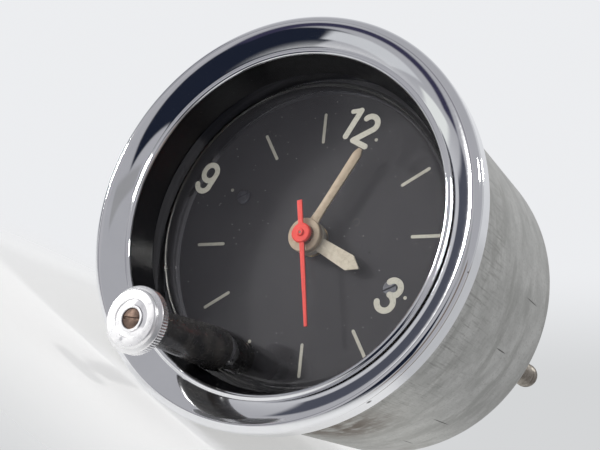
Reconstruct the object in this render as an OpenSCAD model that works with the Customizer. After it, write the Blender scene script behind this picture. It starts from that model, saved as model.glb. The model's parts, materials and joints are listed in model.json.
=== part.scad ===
// Car dashboard clock: pressed bezel, clear lens, black dial, centre seconds and a rewound movement.
// The axis is Y and the face looks along -Y. The rear edge of the bezel, which seats on the panel,
// is the plane y = 0, 12 o'clock is +Z and 3 o'clock is +X. Sizes are in millimetres.

/* [Case] */
// Outer radius of the can that passes through the panel hole
can_r = 26; // [25.5:0.5:30]
// Sheet thickness of the can
can_wall = 0.6; // [0.4:0.1:0.8]
// Rounding of the rear corner of the can
can_corner = 0.9; // [0.9:0.1:2]
// Thickness of the can's front flange
flange_t = 0.6; // [0.4:0.1:0.8]
// How much the can narrows at the root of its flange
flange_root = 0.1; // [0.05:0.05:0.2]
// Length of the ring that carries the edge of the dial
support_len = 2.6; // [1.5:0.1:2.6]
// Radial wall of the ring that carries the edge of the dial
support_wall = 1; // [0.8:0.1:1.2]

/* [Bezel] */
// How far the bezel reaches past the can
bezel_overhang = 2; // [1.8:0.1:4]
// Height of the bezel's rim in front of the panel
bezel_h = 3.65; // [3.2:0.05:6]
// Sheet thickness of the bezel
bezel_t = 0.5; // [0.4:0.05:0.6]
// Radius of the rounded rim
bead_r = 0.9; // [0.8:0.05:1.4]
// How far the edge of the bezel's opening lies inside the can's outer radius
lip_inset = 2.95; // [2.8:0.05:5]
// Height of the opening's edge in front of the panel
lip_h = 1.6; // [1.5:0.05:2.2]
// Radius of the rolled edge of the opening
lip_round = 0.3; // [0.25:0.05:0.4]
// Softened outer corner at the panel
seat_edge = 0.2; // [0.1:0.05:0.4]
// How much the shade ring narrows from the bezel's opening to the lens
shade_taper = 0.85; // [0.55:0.05:3]

/* [Lens] */
// Depth of the front of the lens behind the panel seat
lens_y = 2.56; // [1.5:0.02:6]
// Thickness of the lens
lens_t = 2.6; // [1.5:0.1:4]
// Wall of the skirt moulded behind the lens
lens_skirt_wall = 1.4; // [0.8:0.1:1.4]
// Rounding between the lens and its skirt
lens_fillet = 1.5; // [0.8:0.1:2.5]
// Thickness of the gasket in front of the lens
gasket_t = 0.2; // [0.1:0.05:0.5]
// Radial wall of the spacer ring round the skirt
spacer_wall = 1.6; // [1:0.1:1.6]
// Clear space between the second hand and the lens
lens_clear = 1.2; // [0.3:0.05:2]

/* [Dial] */
// Thickness of the dial plate
dial_t = 0.5; // [0.3:0.1:1]
// Inner end of the hour bars
bar_in_r = 14.5; // [13:0.1:16]
// Outer end of the hour bars
bar_out_r = 19.15; // [17:0.05:20]
// Width of the hour bars
bar_w = 0.45; // [0.3:0.05:1]
// Radius of the circle of quarter dots
dot_circle_r = 16.55; // [14:0.05:20]
// Radius of a quarter dot
dot_r = 0.24; // [0.15:0.01:0.6]
// Thickness of the printed marks
print_t = 0.05; // [0.03:0.01:0.1]
// Height of the numerals
numeral_h = 4.95; // [4:0.05:6]
// Stroke of the numerals
numeral_w = 0.8; // [0.5:0.05:1]
// Distance of each dial screw from the axis
dial_screw_x = 14.1; // [13.8:0.1:17]
// Radius of the dial screw heads
dial_screw_head_r = 1.05; // [0.95:0.05:1.5]

/* [Hands] */
// Height of the hour hand over the dial
hour_h = 1.45; // [1.2:0.05:3]
// Step from the hour hand to the minute hand
minute_step = 1; // [0.95:0.05:3]
// Step from the minute hand to the second hand
second_step = 1.15; // [1.15:0.05:3]
// Length of the hour hand
hour_len = 9.3; // [7:0.1:12]
// Width of the hour hand
hour_w = 2.3; // [1.5:0.1:3]
// Length of the minute hand
minute_len = 14.1; // [12:0.1:16.5]
// Width of the minute hand
minute_w = 1.35; // [0.9:0.05:2]
// Length of the second hand
second_len = 13.1; // [10:0.1:16.5]
// Length of the second hand's tail
second_tail = 4.8; // [3:0.1:7]
// Width of the second hand
second_w = 0.65; // [0.5:0.05:1.2]
// Radius of the hubs of the hour and minute hands
hub_r = 2.45; // [2.4:0.05:3.5]
// Radius of the second hand's hub
second_hub_r = 1.4; // [1:0.05:2]
// Clock angle of the hour hand
hour_angle = 90; // [0:1:359]
// Clock angle of the minute hand
minute_angle = 0.7; // [0:0.1:359]
// Clock angle of the second hand
second_angle = 140.5; // [0:0.5:359]

/* [Setting stem] */
// Gap between the stem's neck and the skirt of the lens
stem_margin = 0.4; // [0.1:0.05:0.6]
// Radius of the knob
knob_r = 4.1; // [3:0.05:5]
// Length of the knob
knob_len = 2.1; // [2:0.1:6]
// Distance of the knob's face in front of the panel seat
knob_face = 15.9; // [12:0.1:24]
// Number of knurl grooves
knurls = 72; // [24:2:80]
// Travel of the knob when it is pushed in
push = 2; // [1:0.1:2.2]
// Radius of the sleeve at the knob
sleeve_front_r = 2.2; // [1.8:0.05:3]
// Radius of the sleeve at the lens
sleeve_rear_r = 2.95; // [2.5:0.05:3.5]
// Radius of the sleeve's neck through the lens
neck_r = 2.4; // [2.1:0.05:2.4]
// Radius of the setting arbor
arbor_r = 1; // [0.8:0.05:1.1]

/* [Movement] */
// Thickness of the movement plates
plate_t = 1.2; // [0.8:0.1:2]
// Depth of each layer of wheels between the plates
layer_gap = 2.7; // [2.4:0.1:4]
// Depth of each layer of wheels behind the dial
motion_layer = 1.4; // [1.3:0.1:2]
// Room behind the rear plate
rear_space = 9.2; // [9:0.1:14]
// Thickness of a wheel
wheel_t = 0.7; // [0.4:0.05:0.8]
// Radius of a pillar
pillar_r = 1.8; // [1.5:0.1:2]
// Distance of the pillars from the edge of the plates
pillar_inset = 2.5; // [2.2:0.1:3]
// Module of the wheels that turn the hands
motion_module = 0.5; // [0.48:0.01:0.5]
// Module of the going train
train_module = 0.3; // [0.28:0.01:0.3]
// Radius of the balance wheel
balance_r = 6; // [5:0.1:6.4]
// Tip radius of the escape wheel
escape_r = 4.4; // [4:0.1:4.6]

/* [Rear fittings] */
// Radius of the mounting studs
stud_r = 2; // [1.5:0.05:2]
// Distance of each mounting stud from the can's wall
stud_inset = 5.2; // [4.4:0.1:5.9]
// Length of the studs behind the can
stud_len = 19.8; // [8:0.2:40]
// How much thicker the shank of a stud is than its free end
shank_step = 0.25; // [0.1:0.05:0.4]
// Distance of the lamp and the terminal from the can's wall
fitting_inset = 7.4; // [7:0.1:8]
// Radius of the lamp holder
lamp_r = 3.9; // [3.5:0.1:4.2]
// Radius of the terminal post
terminal_r = 1.5; // [1:0.1:1.8]

/* [Clearances] */
// Running clearance of a shaft in its hole
run = 0.05; // [0.03:0.01:0.08]
// Gap round a fixed piece in its seat
seat = 0.02; // [0.01:0.01:0.05]
// Gap between parts that pass each other
pass = 0.2; // [0.15:0.05:0.4]

/* [Hidden] */
$fn = 64;

// Overshoot of a cutting shape
over = 1;

// Tooth counts
cannon_z = 12;
minute_z = 36;
minute_pinion_z = 10;
hour_z = 40;
setting_z = 14;
centre_z = 64;
third_pinion_z = 8;
third_z = 60;
seconds_pinion_z = 8;
fourth_z = 64;
escape_pinion_z = 8;
escape_z = 15;
ratchet_z = 24;

// Stack of pieces along the axis
bezel_r = can_r + bezel_overhang;
inner_r = can_r - can_wall;
ring_r = inner_r - pass;
crimp_t = bezel_t;
crimp_r = can_r + pass;
flange_r = bezel_r - bezel_t - pass / 2;
flange_y = -crimp_t - flange_t;
lip_r = can_r - lip_inset;
shade_rear_r = lip_r - shade_taper;
shade_y = -lip_h + lip_round + run;
shade_front_r = lip_r + lip_round + run;
lens_back = lens_y + lens_t;
spacer_in_r = ring_r - spacer_wall;
skirt_out_r = spacer_in_r - pass;
skirt_in_r = skirt_out_r - lens_skirt_wall;
stem_drop = skirt_in_r - neck_r - stem_margin;
minute_h = hour_h + minute_step;
second_h = minute_h + second_step;
second_hub_h = 0.3;
dial_y = lens_back + second_h + second_hub_h + lens_clear;
dial_back = dial_y + dial_t;
hour_layer_y = dial_back + motion_layer / 2;
minute_layer_y = dial_back + motion_layer * 1.5;
post_room = 0.5;
front_plate_y = dial_back + motion_layer * 3 + post_room;
front_plate_back = front_plate_y + plate_t;
rear_plate_y = front_plate_back + layer_gap * 4;
rear_plate_back = rear_plate_y + plate_t;
can_back_in = rear_plate_back + rear_space;
can_depth = can_back_in + can_wall;

// Shafts on the axis, from the inside out
seconds_arbor_r = 0.45;
tube_in_r = seconds_arbor_r + run;
pipe_wall = 0.45;
tube_r = tube_in_r + pipe_wall;
cannon_in_r = tube_r + run;
cannon_r = cannon_in_r + pipe_wall;
hour_pipe_in_r = cannon_r + run;
hour_pipe_r = hour_pipe_in_r + pipe_wall;
pinion_half = 0.75;

// Places in the plane of the dial, as [x, z]
axis_p = [0, 0];
stem_p = [0, -stem_drop];
minute_dist = motion_module * (cannon_z + minute_z) / 2;
setting_dist = motion_module * (minute_z + setting_z) / 2;
minute_drop = (stem_drop * stem_drop + minute_dist * minute_dist - setting_dist * setting_dist)
    / (2 * stem_drop);
minute_p = [sqrt(minute_dist * minute_dist - minute_drop * minute_drop), -minute_drop];
hour_module = 2 * minute_dist / (minute_pinion_z + hour_z);
train_dist = train_module * (centre_z + third_pinion_z) / 2;
third_module = 2 * train_dist / (third_z + seconds_pinion_z);
third_dir = 200;
escape_dir = 20;
third_p = train_dist * [cos(third_dir), sin(third_dir)];
escape_p = train_dist * [cos(escape_dir), sin(escape_dir)];
lever_dir = -70;
lever_room = 2;
lever_u = [cos(lever_dir), sin(lever_dir)];
lever_dist = escape_r + lever_room;
balance_dist = 6.5;
lever_p = escape_p + lever_dist * lever_u;
balance_p = lever_p + balance_dist * lever_u;
plate_margin = 1.7;
plate_r = inner_r - plate_margin;
pillar_dirs = [27.5, 152.5, -124.5, -64.5];
pillar_at = [for (a = pillar_dirs) (plate_r - pillar_inset) * [cos(a), sin(a)]];
stud_x = inner_r - stud_inset;
stud_at = [[stud_x, 0], [-stud_x, 0]];
dial_screw_at = [[dial_screw_x, 0], [-dial_screw_x, 0]];
terminal_x = -3;
terminal_p = [terminal_x, fitting_inset - inner_r];
lamp_p = [0, inner_r - fitting_inset];

// Tooth phases that put each pair in mesh
minute_phase = bearing(axis_p, minute_p) + 180;
cannon_phase = mesh_phase(minute_phase, minute_z, bearing(minute_p, axis_p), cannon_z);
setting_phase = mesh_phase(minute_phase, minute_z, bearing(minute_p, stem_p), setting_z);
minute_pinion_phase = bearing(minute_p, axis_p);
hour_phase = mesh_phase(minute_pinion_phase, minute_pinion_z, bearing(minute_p, axis_p), hour_z);
centre_phase = third_dir;
third_pinion_phase = mesh_phase(centre_phase, centre_z, third_dir, third_pinion_z);
third_phase = third_dir + 180;
seconds_pinion_phase = mesh_phase(third_phase, third_z, third_dir + 180, seconds_pinion_z);
fourth_phase = escape_dir;
escape_pinion_phase = mesh_phase(fourth_phase, fourth_z, escape_dir, escape_pinion_z);

// Direction from one place to another, in degrees
function bearing(a, b) = atan2(b[1] - a[1], b[0] - a[0]);

// Angle of a tooth of the second gear when the first gear has a tooth at phase_a
function mesh_phase(phase_a, za, dir, zb) =
    dir + 180 + (0.5 - (phase_a - dir) * za / 360) * 360 / zb;

// Depth of a layer of wheels between the plates, counted from the front
function layer_y(i) = front_plate_back + layer_gap * (i + 0.5);

// Points on an arc
function arc(c, r, a0, a1, n) =
    [for (i = [0:n]) let(a = a0 + (a1 - a0) * i / n) [c[0] + r * cos(a), c[1] + r * sin(a)]];

// Flat shape in the plane of the dial, from depth y0 to depth y1
module slab(y0, y1) {
    translate([0, y1, 0])
        rotate([90, 0, 0])
            linear_extrude(y1 - y0)
                children();
}

// Round bar along the axis at place p
module rod(p, y0, y1, r) {
    translate([p[0], y1, p[1]])
        rotate([90, 0, 0])
            cylinder(h = y1 - y0, r = r);
}

// Round hole along the axis, cut past both ends
module bore(p, y0, y1, r) {
    rod(p, y0 - over, y1 + over, r);
}

// Tapered round bar along the axis
module taper(p, y0, y1, r0, r1) {
    translate([p[0], y1, p[1]])
        rotate([90, 0, 0])
            cylinder(h = y1 - y0, r1 = r1, r2 = r0);
}

// Round tube along the axis
module tube(p, y0, y1, r_out, r_in) {
    difference() {
        rod(p, y0, y1, r_out);
        bore(p, y0, y1, r_in);
    }
}

// Body of revolution about the axis, from a profile of [radius, depth]
module lathe() {
    rotate([-90, 0, 0])
        rotate_extrude($fn = 128)
            children();
}

// Moves a shape from the axis to place p
module at(p) {
    translate([p[0], 0, p[1]])
        children();
}

// Outline of a gear with slim straight teeth
module gear_outline(z, m, phase) {
    rp = m * z / 2;
    root = rp - 1.2 * m;
    tip = rp + 0.8 * m;
    root_half = 0.3;
    pitch_half = 0.19;
    tip_half = 0.09;
    shape = [[root, -root_half], [rp, -pitch_half], [tip, -tip_half],
             [tip, tip_half], [rp, pitch_half], [root, root_half]];
    polygon([for (i = [0:z - 1]) for (s = shape)
        let(a = phase + (i + s[1]) * 360 / z) [s[0] * cos(a), s[0] * sin(a)]]);
}

// Gear at place p, centred on depth y
module gear(p, y, t, z, m, phase) {
    at(p)
        slab(y - t / 2, y + t / 2)
            gear_outline(z, m, phase);
}

// Straight bar with square ends between two points of a flat shape
module bar(a, b, w) {
    translate(a)
        rotate(bearing(a, b))
            translate([0, -w / 2])
                square([norm(b - a), w]);
}

// Straight stroke with round ends
module stroke(a, b, w) {
    bar(a, b, w);
    for (p = [a, b])
        translate(p)
            circle(d = w);
}

// Round stroke with round ends
module arc_stroke(c, r, a0, a1, w) {
    far = 4 * r;
    mid = (a0 + a1) / 2;
    intersection() {
        translate(c)
            difference() {
                circle(r + w / 2);
                circle(r - w / 2);
            }
        polygon(concat([c], [for (a = [a0, (a0 + mid) / 2, mid, (a1 + mid) / 2, a1])
            c + far * [cos(a), sin(a)]]));
    }
    for (a = [a0, a1])
        translate(c + r * [cos(a), sin(a)])
            circle(d = w);
}

// Case

module case_can() {
    corner_c = [can_r - can_corner, can_depth - can_corner];
    in_corner = can_corner - can_wall;
    color([0.55, 0.55, 0.52])
        difference() {
            lathe()
                polygon(concat(
                    [[inner_r, flange_y], [flange_r, flange_y], [flange_r, -crimp_t],
                     [can_r - flange_root, -crimp_t], [can_r, 0]],
                    arc(corner_c, can_corner, 0, 90, 8),
                    [[0, can_depth], [0, can_back_in]],
                    arc(corner_c, in_corner, 90, 0, 4)));
            for (p = stud_at)
                bore(p, can_back_in, can_depth, shank_r + pass / 2);
            bore(lamp_p, can_back_in, can_depth, lamp_r + seat);
            bore(terminal_p, can_back_in, can_depth, insulator_neck_r + seat);
        }
}

module support_ring() {
    color([0.4, 0.4, 0.4])
        tube(axis_p, dial_back, dial_back + support_len, inner_r, inner_r - support_wall);
}

// Rounded rim, sloping face and rolled inner edge, pressed from one sheet
module bezel() {
    rim_c = [bezel_r - bead_r, bead_r - bezel_h];
    lip_c = [lip_r + lip_round, -lip_h];
    span = norm(rim_c - lip_c);
    face_n = bearing(lip_c, rim_c) - acos((lip_round - bead_r) / span);
    color([0.85, 0.86, 0.88])
        lathe()
            polygon(concat(
                [[crimp_r, 0], [bezel_r - seat_edge, 0], [bezel_r, -seat_edge]],
                arc(rim_c, bead_r, 0, face_n, 14),
                arc(lip_c, lip_round, face_n, -270, 10),
                arc(rim_c, bead_r - bezel_t, face_n, 0, 8),
                [[bezel_r - bezel_t, -crimp_t], [crimp_r, -crimp_t]]));
}

// Relief for the stem's sleeve in the rings round it
module sleeve_relief() {
    bore(stem_p, shade_y, lens_y, sleeve_rear_r + pass);
}

module shade_ring() {
    rear = lens_y - gasket_t;
    color([0.03, 0.03, 0.04])
        difference() {
            lathe()
                polygon([[shade_front_r, shade_y], [ring_r, shade_y], [ring_r, rear], [shade_rear_r, rear]]);
            sleeve_relief();
        }
}

module lens_gasket() {
    color([0.05, 0.05, 0.05])
        difference() {
            tube(axis_p, lens_y - gasket_t, lens_y, ring_r, shade_rear_r + pass);
            sleeve_relief();
        }
}

// Clear front with a skirt behind it, bored for the stem
module lens() {
    fillet_c = [skirt_in_r - lens_fillet, lens_back + lens_fillet];
    skirt_end = dial_y - pass;
    color([0.85, 0.88, 0.86, 0.35])
        difference() {
            lathe()
                polygon(concat(
                    [[0, lens_y], [ring_r, lens_y], [ring_r, lens_back], [skirt_out_r, lens_back],
                     [skirt_out_r, skirt_end], [skirt_in_r, skirt_end]],
                    arc(fillet_c, lens_fillet, 0, -90, 8),
                    [[0, lens_back]]));
            bore(stem_p, lens_y, lens_back, neck_r + run);
        }
}

module figure_one() {
    top = (numeral_h - numeral_w) / 2;
    flag = [-1.05, top - 0.65];
    flag_w = numeral_w * 0.8;
    stroke([0, -top], [0, top], numeral_w);
    stroke(flag, [0, top], flag_w);
}

module figure_two() {
    top = (numeral_h - numeral_w) / 2;
    bow_r = 1.02;
    bow_c = [0, top - bow_r];
    bow_end = -40;
    foot = [-bow_r, -top];
    toe = [bow_r + 0.1, -top];
    arc_stroke(bow_c, bow_r, bow_end, 160, numeral_w);
    stroke(bow_c + bow_r * [cos(bow_end), sin(bow_end)], foot, numeral_w);
    stroke(foot, toe, numeral_w);
}

module figure_three() {
    top = (numeral_h - numeral_w) / 2;
    low_r = 1.1;
    high_r = top - low_r;
    arc_stroke([0, top - high_r], high_r, -90, 155, numeral_w);
    arc_stroke([0, low_r - top], low_r, -155, 90, numeral_w);
}

module figure_nine() {
    top = (numeral_h - numeral_w) / 2;
    bow_r = 1.05;
    bow_c = [0, top - bow_r];
    low_c = bow_c - [0, 0.3];
    hook_c = [0, bow_r - top];
    side = [bow_r, 0];
    arc_stroke(bow_c, bow_r, 0, 180, numeral_w);
    arc_stroke(low_c, bow_r, 180, 360, numeral_w);
    stroke(low_c - side, bow_c - side, numeral_w);
    stroke(bow_c + side, hook_c + side, numeral_w);
    arc_stroke(hook_c, bow_r, -155, 0, numeral_w);
}

// Middles of the figures on the underside of the lens, set in from its skirt
twelve_inset = 5.65;
three_inset = 5.1;
nine_inset = 4.35;
twelve_p = [0, skirt_in_r - twelve_inset];
three_p = [skirt_in_r - three_inset, -0.85];
nine_p = [nine_inset - skirt_in_r, -0.45];
one_offset = [-1.3, 0];
two_offset = [1.05, 0];

// Figures printed on the underside of the lens
module lens_numerals() {
    color([0.75, 0.74, 0.68])
        slab(lens_back, lens_back + print_t) {
            translate(twelve_p + one_offset)
                figure_one();
            translate(twelve_p + two_offset)
                figure_two();
            translate(three_p)
                figure_three();
            translate(nine_p)
                figure_nine();
        }
}

module spacer_ring() {
    color([0.06, 0.06, 0.06])
        tube(axis_p, lens_back, dial_y, ring_r, spacer_in_r);
}

// Dial

dial_hole_r = hour_pipe_r + 2 * pass;
dial_screw_r = 0.8;
cone_lip = 0.4;
cone_r = arbor_r + cone_lip;

module dial_plate() {
    color([0.1, 0.1, 0.11])
        difference() {
            rod(axis_p, dial_y, dial_back, ring_r);
            bore(axis_p, dial_y, dial_back, dial_hole_r);
            bore(stem_p, dial_y, dial_back, cone_r + pass);
            for (p = dial_screw_at)
                bore(p, dial_y, dial_back, dial_screw_r + seat);
        }
}

module dial_markings() {
    color([0.72, 0.71, 0.66])
        slab(dial_y - print_t, dial_y) {
            for (h = [1:11])
                if (h % 3 != 0)
                    rotate(-30 * h)
                        stroke([0, bar_in_r + bar_w / 2], [0, bar_out_r - bar_w / 2], bar_w);
            for (h = [0:3:9])
                rotate(-30 * h)
                    translate([0, dot_circle_r])
                        circle(dot_r);
        }
}

module dial_screws() {
    head_h = 0.35;
    grip = 2;
    slot_w = 0.3;
    slot_turn = 55;
    color([0.12, 0.12, 0.12])
        for (p = dial_screw_at)
            difference() {
                union() {
                    rod(p, dial_y - head_h, dial_y, dial_screw_head_r);
                    rod(p, dial_y, dial_back + grip, dial_screw_r);
                }
                at(p)
                    slab(dial_y - head_h - over, dial_y - head_h / 2)
                        rotate(slot_turn)
                            square([3 * dial_screw_head_r, slot_w], center = true);
            }
}

module dial_posts() {
    post_r = 1.6;
    color([0.7, 0.6, 0.35])
        for (p = dial_screw_at)
            tube(p, dial_back, front_plate_y, post_r, dial_screw_r + seat);
}

// Hands

// Reach of the hubs in front of and behind each blade
hour_hub_front = 0.35;
hour_hub_back = 0.6;
minute_hub_front = 0.45;
minute_hub_back = 0.4;
second_boss_back = 0.4;

// Blade with a ridge along its middle, pointing to 12 o'clock
module ridged_blade(y, w, tip, taper_len) {
    blade_t = 0.3;
    ridge_t = 0.12;
    ridge_w = 0.02;
    root = hub_r * 0.7;
    neck = tip - taper_len;
    tip_half = w * 0.12;
    hull() {
        slab(y - blade_t / 2, y + blade_t / 2)
            polygon([[-w / 2, root], [w / 2, root], [w / 2, neck], [tip_half, tip],
                     [-tip_half, tip], [-w / 2, neck]]);
        slab(y - blade_t / 2 - ridge_t, y)
            translate([-ridge_w / 2, root])
                square([ridge_w, neck - root]);
    }
}

module hour_hand() {
    y = dial_y - hour_h;
    taper_len = 1.6;
    color([0.88, 0.86, 0.76])
        rotate([0, hour_angle, 0])
            difference() {
                union() {
                    ridged_blade(y, hour_w, hour_len, taper_len);
                    rod(axis_p, y - hour_hub_front, y + hour_hub_back, hub_r);
                }
                bore(axis_p, y - hour_hub_front, y + hour_hub_back, hour_pipe_r + seat);
            }
}

module minute_hand() {
    y = dial_y - minute_h;
    taper_len = 0.8;
    color([0.88, 0.86, 0.76])
        rotate([0, minute_angle, 0])
            difference() {
                union() {
                    ridged_blade(y, minute_w, minute_len, taper_len);
                    rod(axis_p, y - minute_hub_front, y + minute_hub_back, hub_r);
                }
                bore(axis_p, y - minute_hub_front, y + minute_hub_back, cannon_r + seat);
            }
}

module second_hand() {
    y = dial_y - second_h;
    blade_t = 0.25;
    tail_w = second_w * 1.2;
    tip_w = second_w * 0.7;
    boss_r = 0.95;
    color([0.75, 0.12, 0.1])
        rotate([0, second_angle, 0])
            difference() {
                union() {
                    slab(y - blade_t / 2, y + blade_t / 2)
                        polygon([[-tail_w / 2, -second_tail], [tail_w / 2, -second_tail], [second_w / 2, 0],
                                 [tip_w / 2, second_len], [-tip_w / 2, second_len], [-second_w / 2, 0]]);
                    rod(axis_p, y - second_hub_h, y + blade_t, second_hub_r);
                    rod(axis_p, y, y + second_boss_back, boss_r);
                }
                bore(axis_p, y - second_hub_h, y + second_boss_back, seconds_arbor_r + seat);
            }
}

// Setting stem

knob_y = -knob_face;
knob_rear = knob_y + knob_len;
sleeve_front = knob_rear + push + pass;
chamber_y = lens_y + 0.5;
neck_wall = 0.8;
chamber_r = neck_r - neck_wall;
shoulder_t = 0.75;
washer_y = chamber_y + shoulder_t + run;
washer_t = 0.55;
cone_len = 1.7;
cone_inset = 0.9;
cone_y = dial_y - cone_inset;
bush_t = 0.7;
bush_y = cone_y - bush_t - pass;
cone_tip_r = cone_r * 0.5;
clutch_gap = 0.15;
cup_y = cone_y + push + clutch_gap;
knob_web = 0.8;
knob_bore_deep = knob_len - knob_web;
screw_head_r = 1.25;
screw_head_deep = 0.5;
screw_r = 0.5;
screw_grip = 0.5;

module setting_knob() {
    face_round = 0.5;
    band = 1;
    ring_in = 1.6;
    ring_out = 2.35;
    ring_deep = 0.12;
    groove_r = 0.84 * PI * knob_r / knurls;
    groove_out = groove_r / 3;
    color([0.85, 0.85, 0.87])
        at(stem_p)
            difference() {
                lathe()
                    polygon(concat(
                        [[0, knob_y], [ring_in, knob_y], [ring_in, knob_y + ring_deep],
                         [ring_out, knob_y + ring_deep], [ring_out, knob_y]],
                        arc([knob_r - face_round, knob_y + face_round], face_round, -90, 0, 6),
                        [[knob_r, knob_rear], [0, knob_rear]]));
                rod(axis_p, knob_rear - knob_bore_deep, knob_rear + over, arbor_r + seat);
                rod(axis_p, knob_y - over, knob_y + screw_head_deep, screw_head_r + seat);
                bore(axis_p, knob_y, knob_rear, screw_r + seat);
                for (i = [0:knurls - 1])
                    rotate([0, 360 * i / knurls, 0])
                        rod([0, knob_r + groove_out], knob_y + band, knob_rear + over, groove_r);
            }
}

module knob_screw() {
    head_y = knob_y + 0.1;
    seat_y = knob_y + screw_head_deep;
    slot_w = 0.35;
    slot_deep = 0.2;
    slot_turn = 25;
    color([0.42, 0.33, 0.25])
        at(stem_p)
            difference() {
                union() {
                    rod(axis_p, head_y, seat_y, screw_head_r);
                    rod(axis_p, seat_y, knob_rear, screw_r);
                }
                slab(head_y - over, head_y + slot_deep)
                    rotate(slot_turn)
                        square([3 * screw_head_r, slot_w], center = true);
            }
}

// Arbor with a stop shoulder, a friction cone at its end and a tapped front
module setting_arbor() {
    front = knob_rear - knob_bore_deep + seat;
    shoulder_y = chamber_y + run;
    color([0.6, 0.6, 0.6])
        difference() {
            union() {
                rod(stem_p, front, cone_y + cone_lip, arbor_r);
                rod(stem_p, shoulder_y, shoulder_y + shoulder_t - seat, chamber_r - pass);
                taper(stem_p, cone_y, cone_y + cone_len, cone_r, cone_tip_r);
            }
            rod(stem_p, front - over, knob_rear + screw_grip, screw_r + seat);
        }
}

// Tapered sleeve that stands on the lens, with a neck through it to the dial
module stem_sleeve() {
    color([0.03, 0.03, 0.03])
        difference() {
            union() {
                taper(stem_p, sleeve_front, lens_y - seat, sleeve_front_r, sleeve_rear_r);
                rod(stem_p, lens_y - pass, dial_y, neck_r);
            }
            bore(stem_p, sleeve_front, dial_y, arbor_r + run);
            rod(stem_p, chamber_y, dial_y + over, chamber_r);
        }
}

module stem_bush() {
    color([0.7, 0.6, 0.35])
        tube(stem_p, bush_y, bush_y + bush_t, chamber_r - seat, arbor_r + run);
}

module stem_washer() {
    color([0.6, 0.6, 0.62])
        tube(stem_p, washer_y, washer_y + washer_t, chamber_r - run, arbor_r + run);
}

module stem_spring() {
    color([0.65, 0.65, 0.65])
        tube(stem_p, washer_y + washer_t, bush_y, chamber_r - run, arbor_r + run);
}

// Pinion in mesh with the minute wheel, with a cup that the cone reaches when the knob is pushed
module setting_pinion() {
    hub_wall = 0.6;
    hub_end = front_plate_y - pass;
    color([0.75, 0.65, 0.35])
        difference() {
            union() {
                gear(stem_p, minute_layer_y, 2 * pinion_half, setting_z, motion_module, setting_phase);
                rod(stem_p, cup_y, hub_end, cone_r + hub_wall);
            }
            taper(stem_p, cup_y - seat, cup_y + cone_len, cone_r + run, cone_tip_r + run);
            rod(stem_p, post_front, hub_end + over, setting_post_r + run);
        }
}

setting_post_r = 0.75;
post_front = cup_y + cone_len + pass / 2;

module setting_post() {
    color([0.6, 0.6, 0.6])
        rod(stem_p, post_front + run, front_plate_y, setting_post_r);
}

// Wheels behind the dial

module cannon_pinion() {
    front = dial_y - minute_h - minute_hub_front - run;
    color([0.75, 0.65, 0.35])
        difference() {
            union() {
                gear(axis_p, minute_layer_y, 2 * pinion_half, cannon_z, motion_module, cannon_phase);
                rod(axis_p, front, minute_layer_y + pinion_half, cannon_r);
            }
            bore(axis_p, front, minute_layer_y + pinion_half, cannon_in_r);
        }
}

minute_post_r = 0.7;

module minute_wheel() {
    color([0.75, 0.65, 0.35])
        difference() {
            union() {
                gear(minute_p, minute_layer_y, wheel_t, minute_z, motion_module, minute_phase);
                gear(minute_p, (hour_layer_y + minute_layer_y) / 2, motion_layer, minute_pinion_z,
                    hour_module, minute_pinion_phase);
            }
            rod(minute_p, dial_back, front_plate_y, minute_post_r + run);
        }
}

module minute_post() {
    collar_r = 1.5;
    color([0.6, 0.6, 0.6]) {
        rod(minute_p, hour_layer_y - wheel_t / 2, front_plate_y, minute_post_r);
        tube(minute_p, minute_layer_y + wheel_t / 2 + pass, front_plate_y, collar_r, minute_post_r);
    }
}

module hour_wheel() {
    front = dial_y - hour_h - hour_hub_front - run;
    color([0.75, 0.65, 0.35])
        difference() {
            union() {
                gear(axis_p, hour_layer_y, wheel_t, hour_z, hour_module, hour_phase);
                rod(axis_p, front, hour_layer_y + wheel_t / 2, hour_pipe_r);
            }
            bore(axis_p, front, hour_layer_y + wheel_t / 2, hour_pipe_in_r);
        }
}

// Movement

plate_top = 12.5;
pivot_r = 0.5;
plate_screw_r = 0.8;

module plate_blank(y) {
    intersection() {
        rod(axis_p, y, y + plate_t, plate_r);
        translate([-plate_r, y - over, -plate_r])
            cube([2 * plate_r, plate_t + 2 * over, plate_r + plate_top]);
    }
}

module front_plate() {
    color([0.78, 0.68, 0.4])
        difference() {
            plate_blank(front_plate_y);
            bore(axis_p, front_plate_y, front_plate_back, tube_r + run);
            for (p = [third_p, escape_p, lever_p, balance_p])
                bore(p, front_plate_y, front_plate_back, pivot_r + run);
            for (p = pillar_at)
                bore(p, front_plate_y, front_plate_back, plate_screw_r + seat);
        }
}

module rear_plate() {
    staff_hole_r = 1;
    color([0.78, 0.68, 0.4])
        difference() {
            plate_blank(rear_plate_y);
            bore(axis_p, rear_plate_y, rear_plate_back, seconds_arbor_r + run);
            for (p = [third_p, escape_p, lever_p])
                bore(p, rear_plate_y, rear_plate_back, pivot_r + run);
            bore(balance_p, rear_plate_y, rear_plate_back, staff_hole_r);
            for (p = pillar_at)
                bore(p, rear_plate_y, rear_plate_back, plate_screw_r + seat);
        }
}

module pillars() {
    color([0.7, 0.6, 0.35])
        for (p = pillar_at)
            tube(p, front_plate_back, rear_plate_y, pillar_r, plate_screw_r + seat);
}

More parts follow.
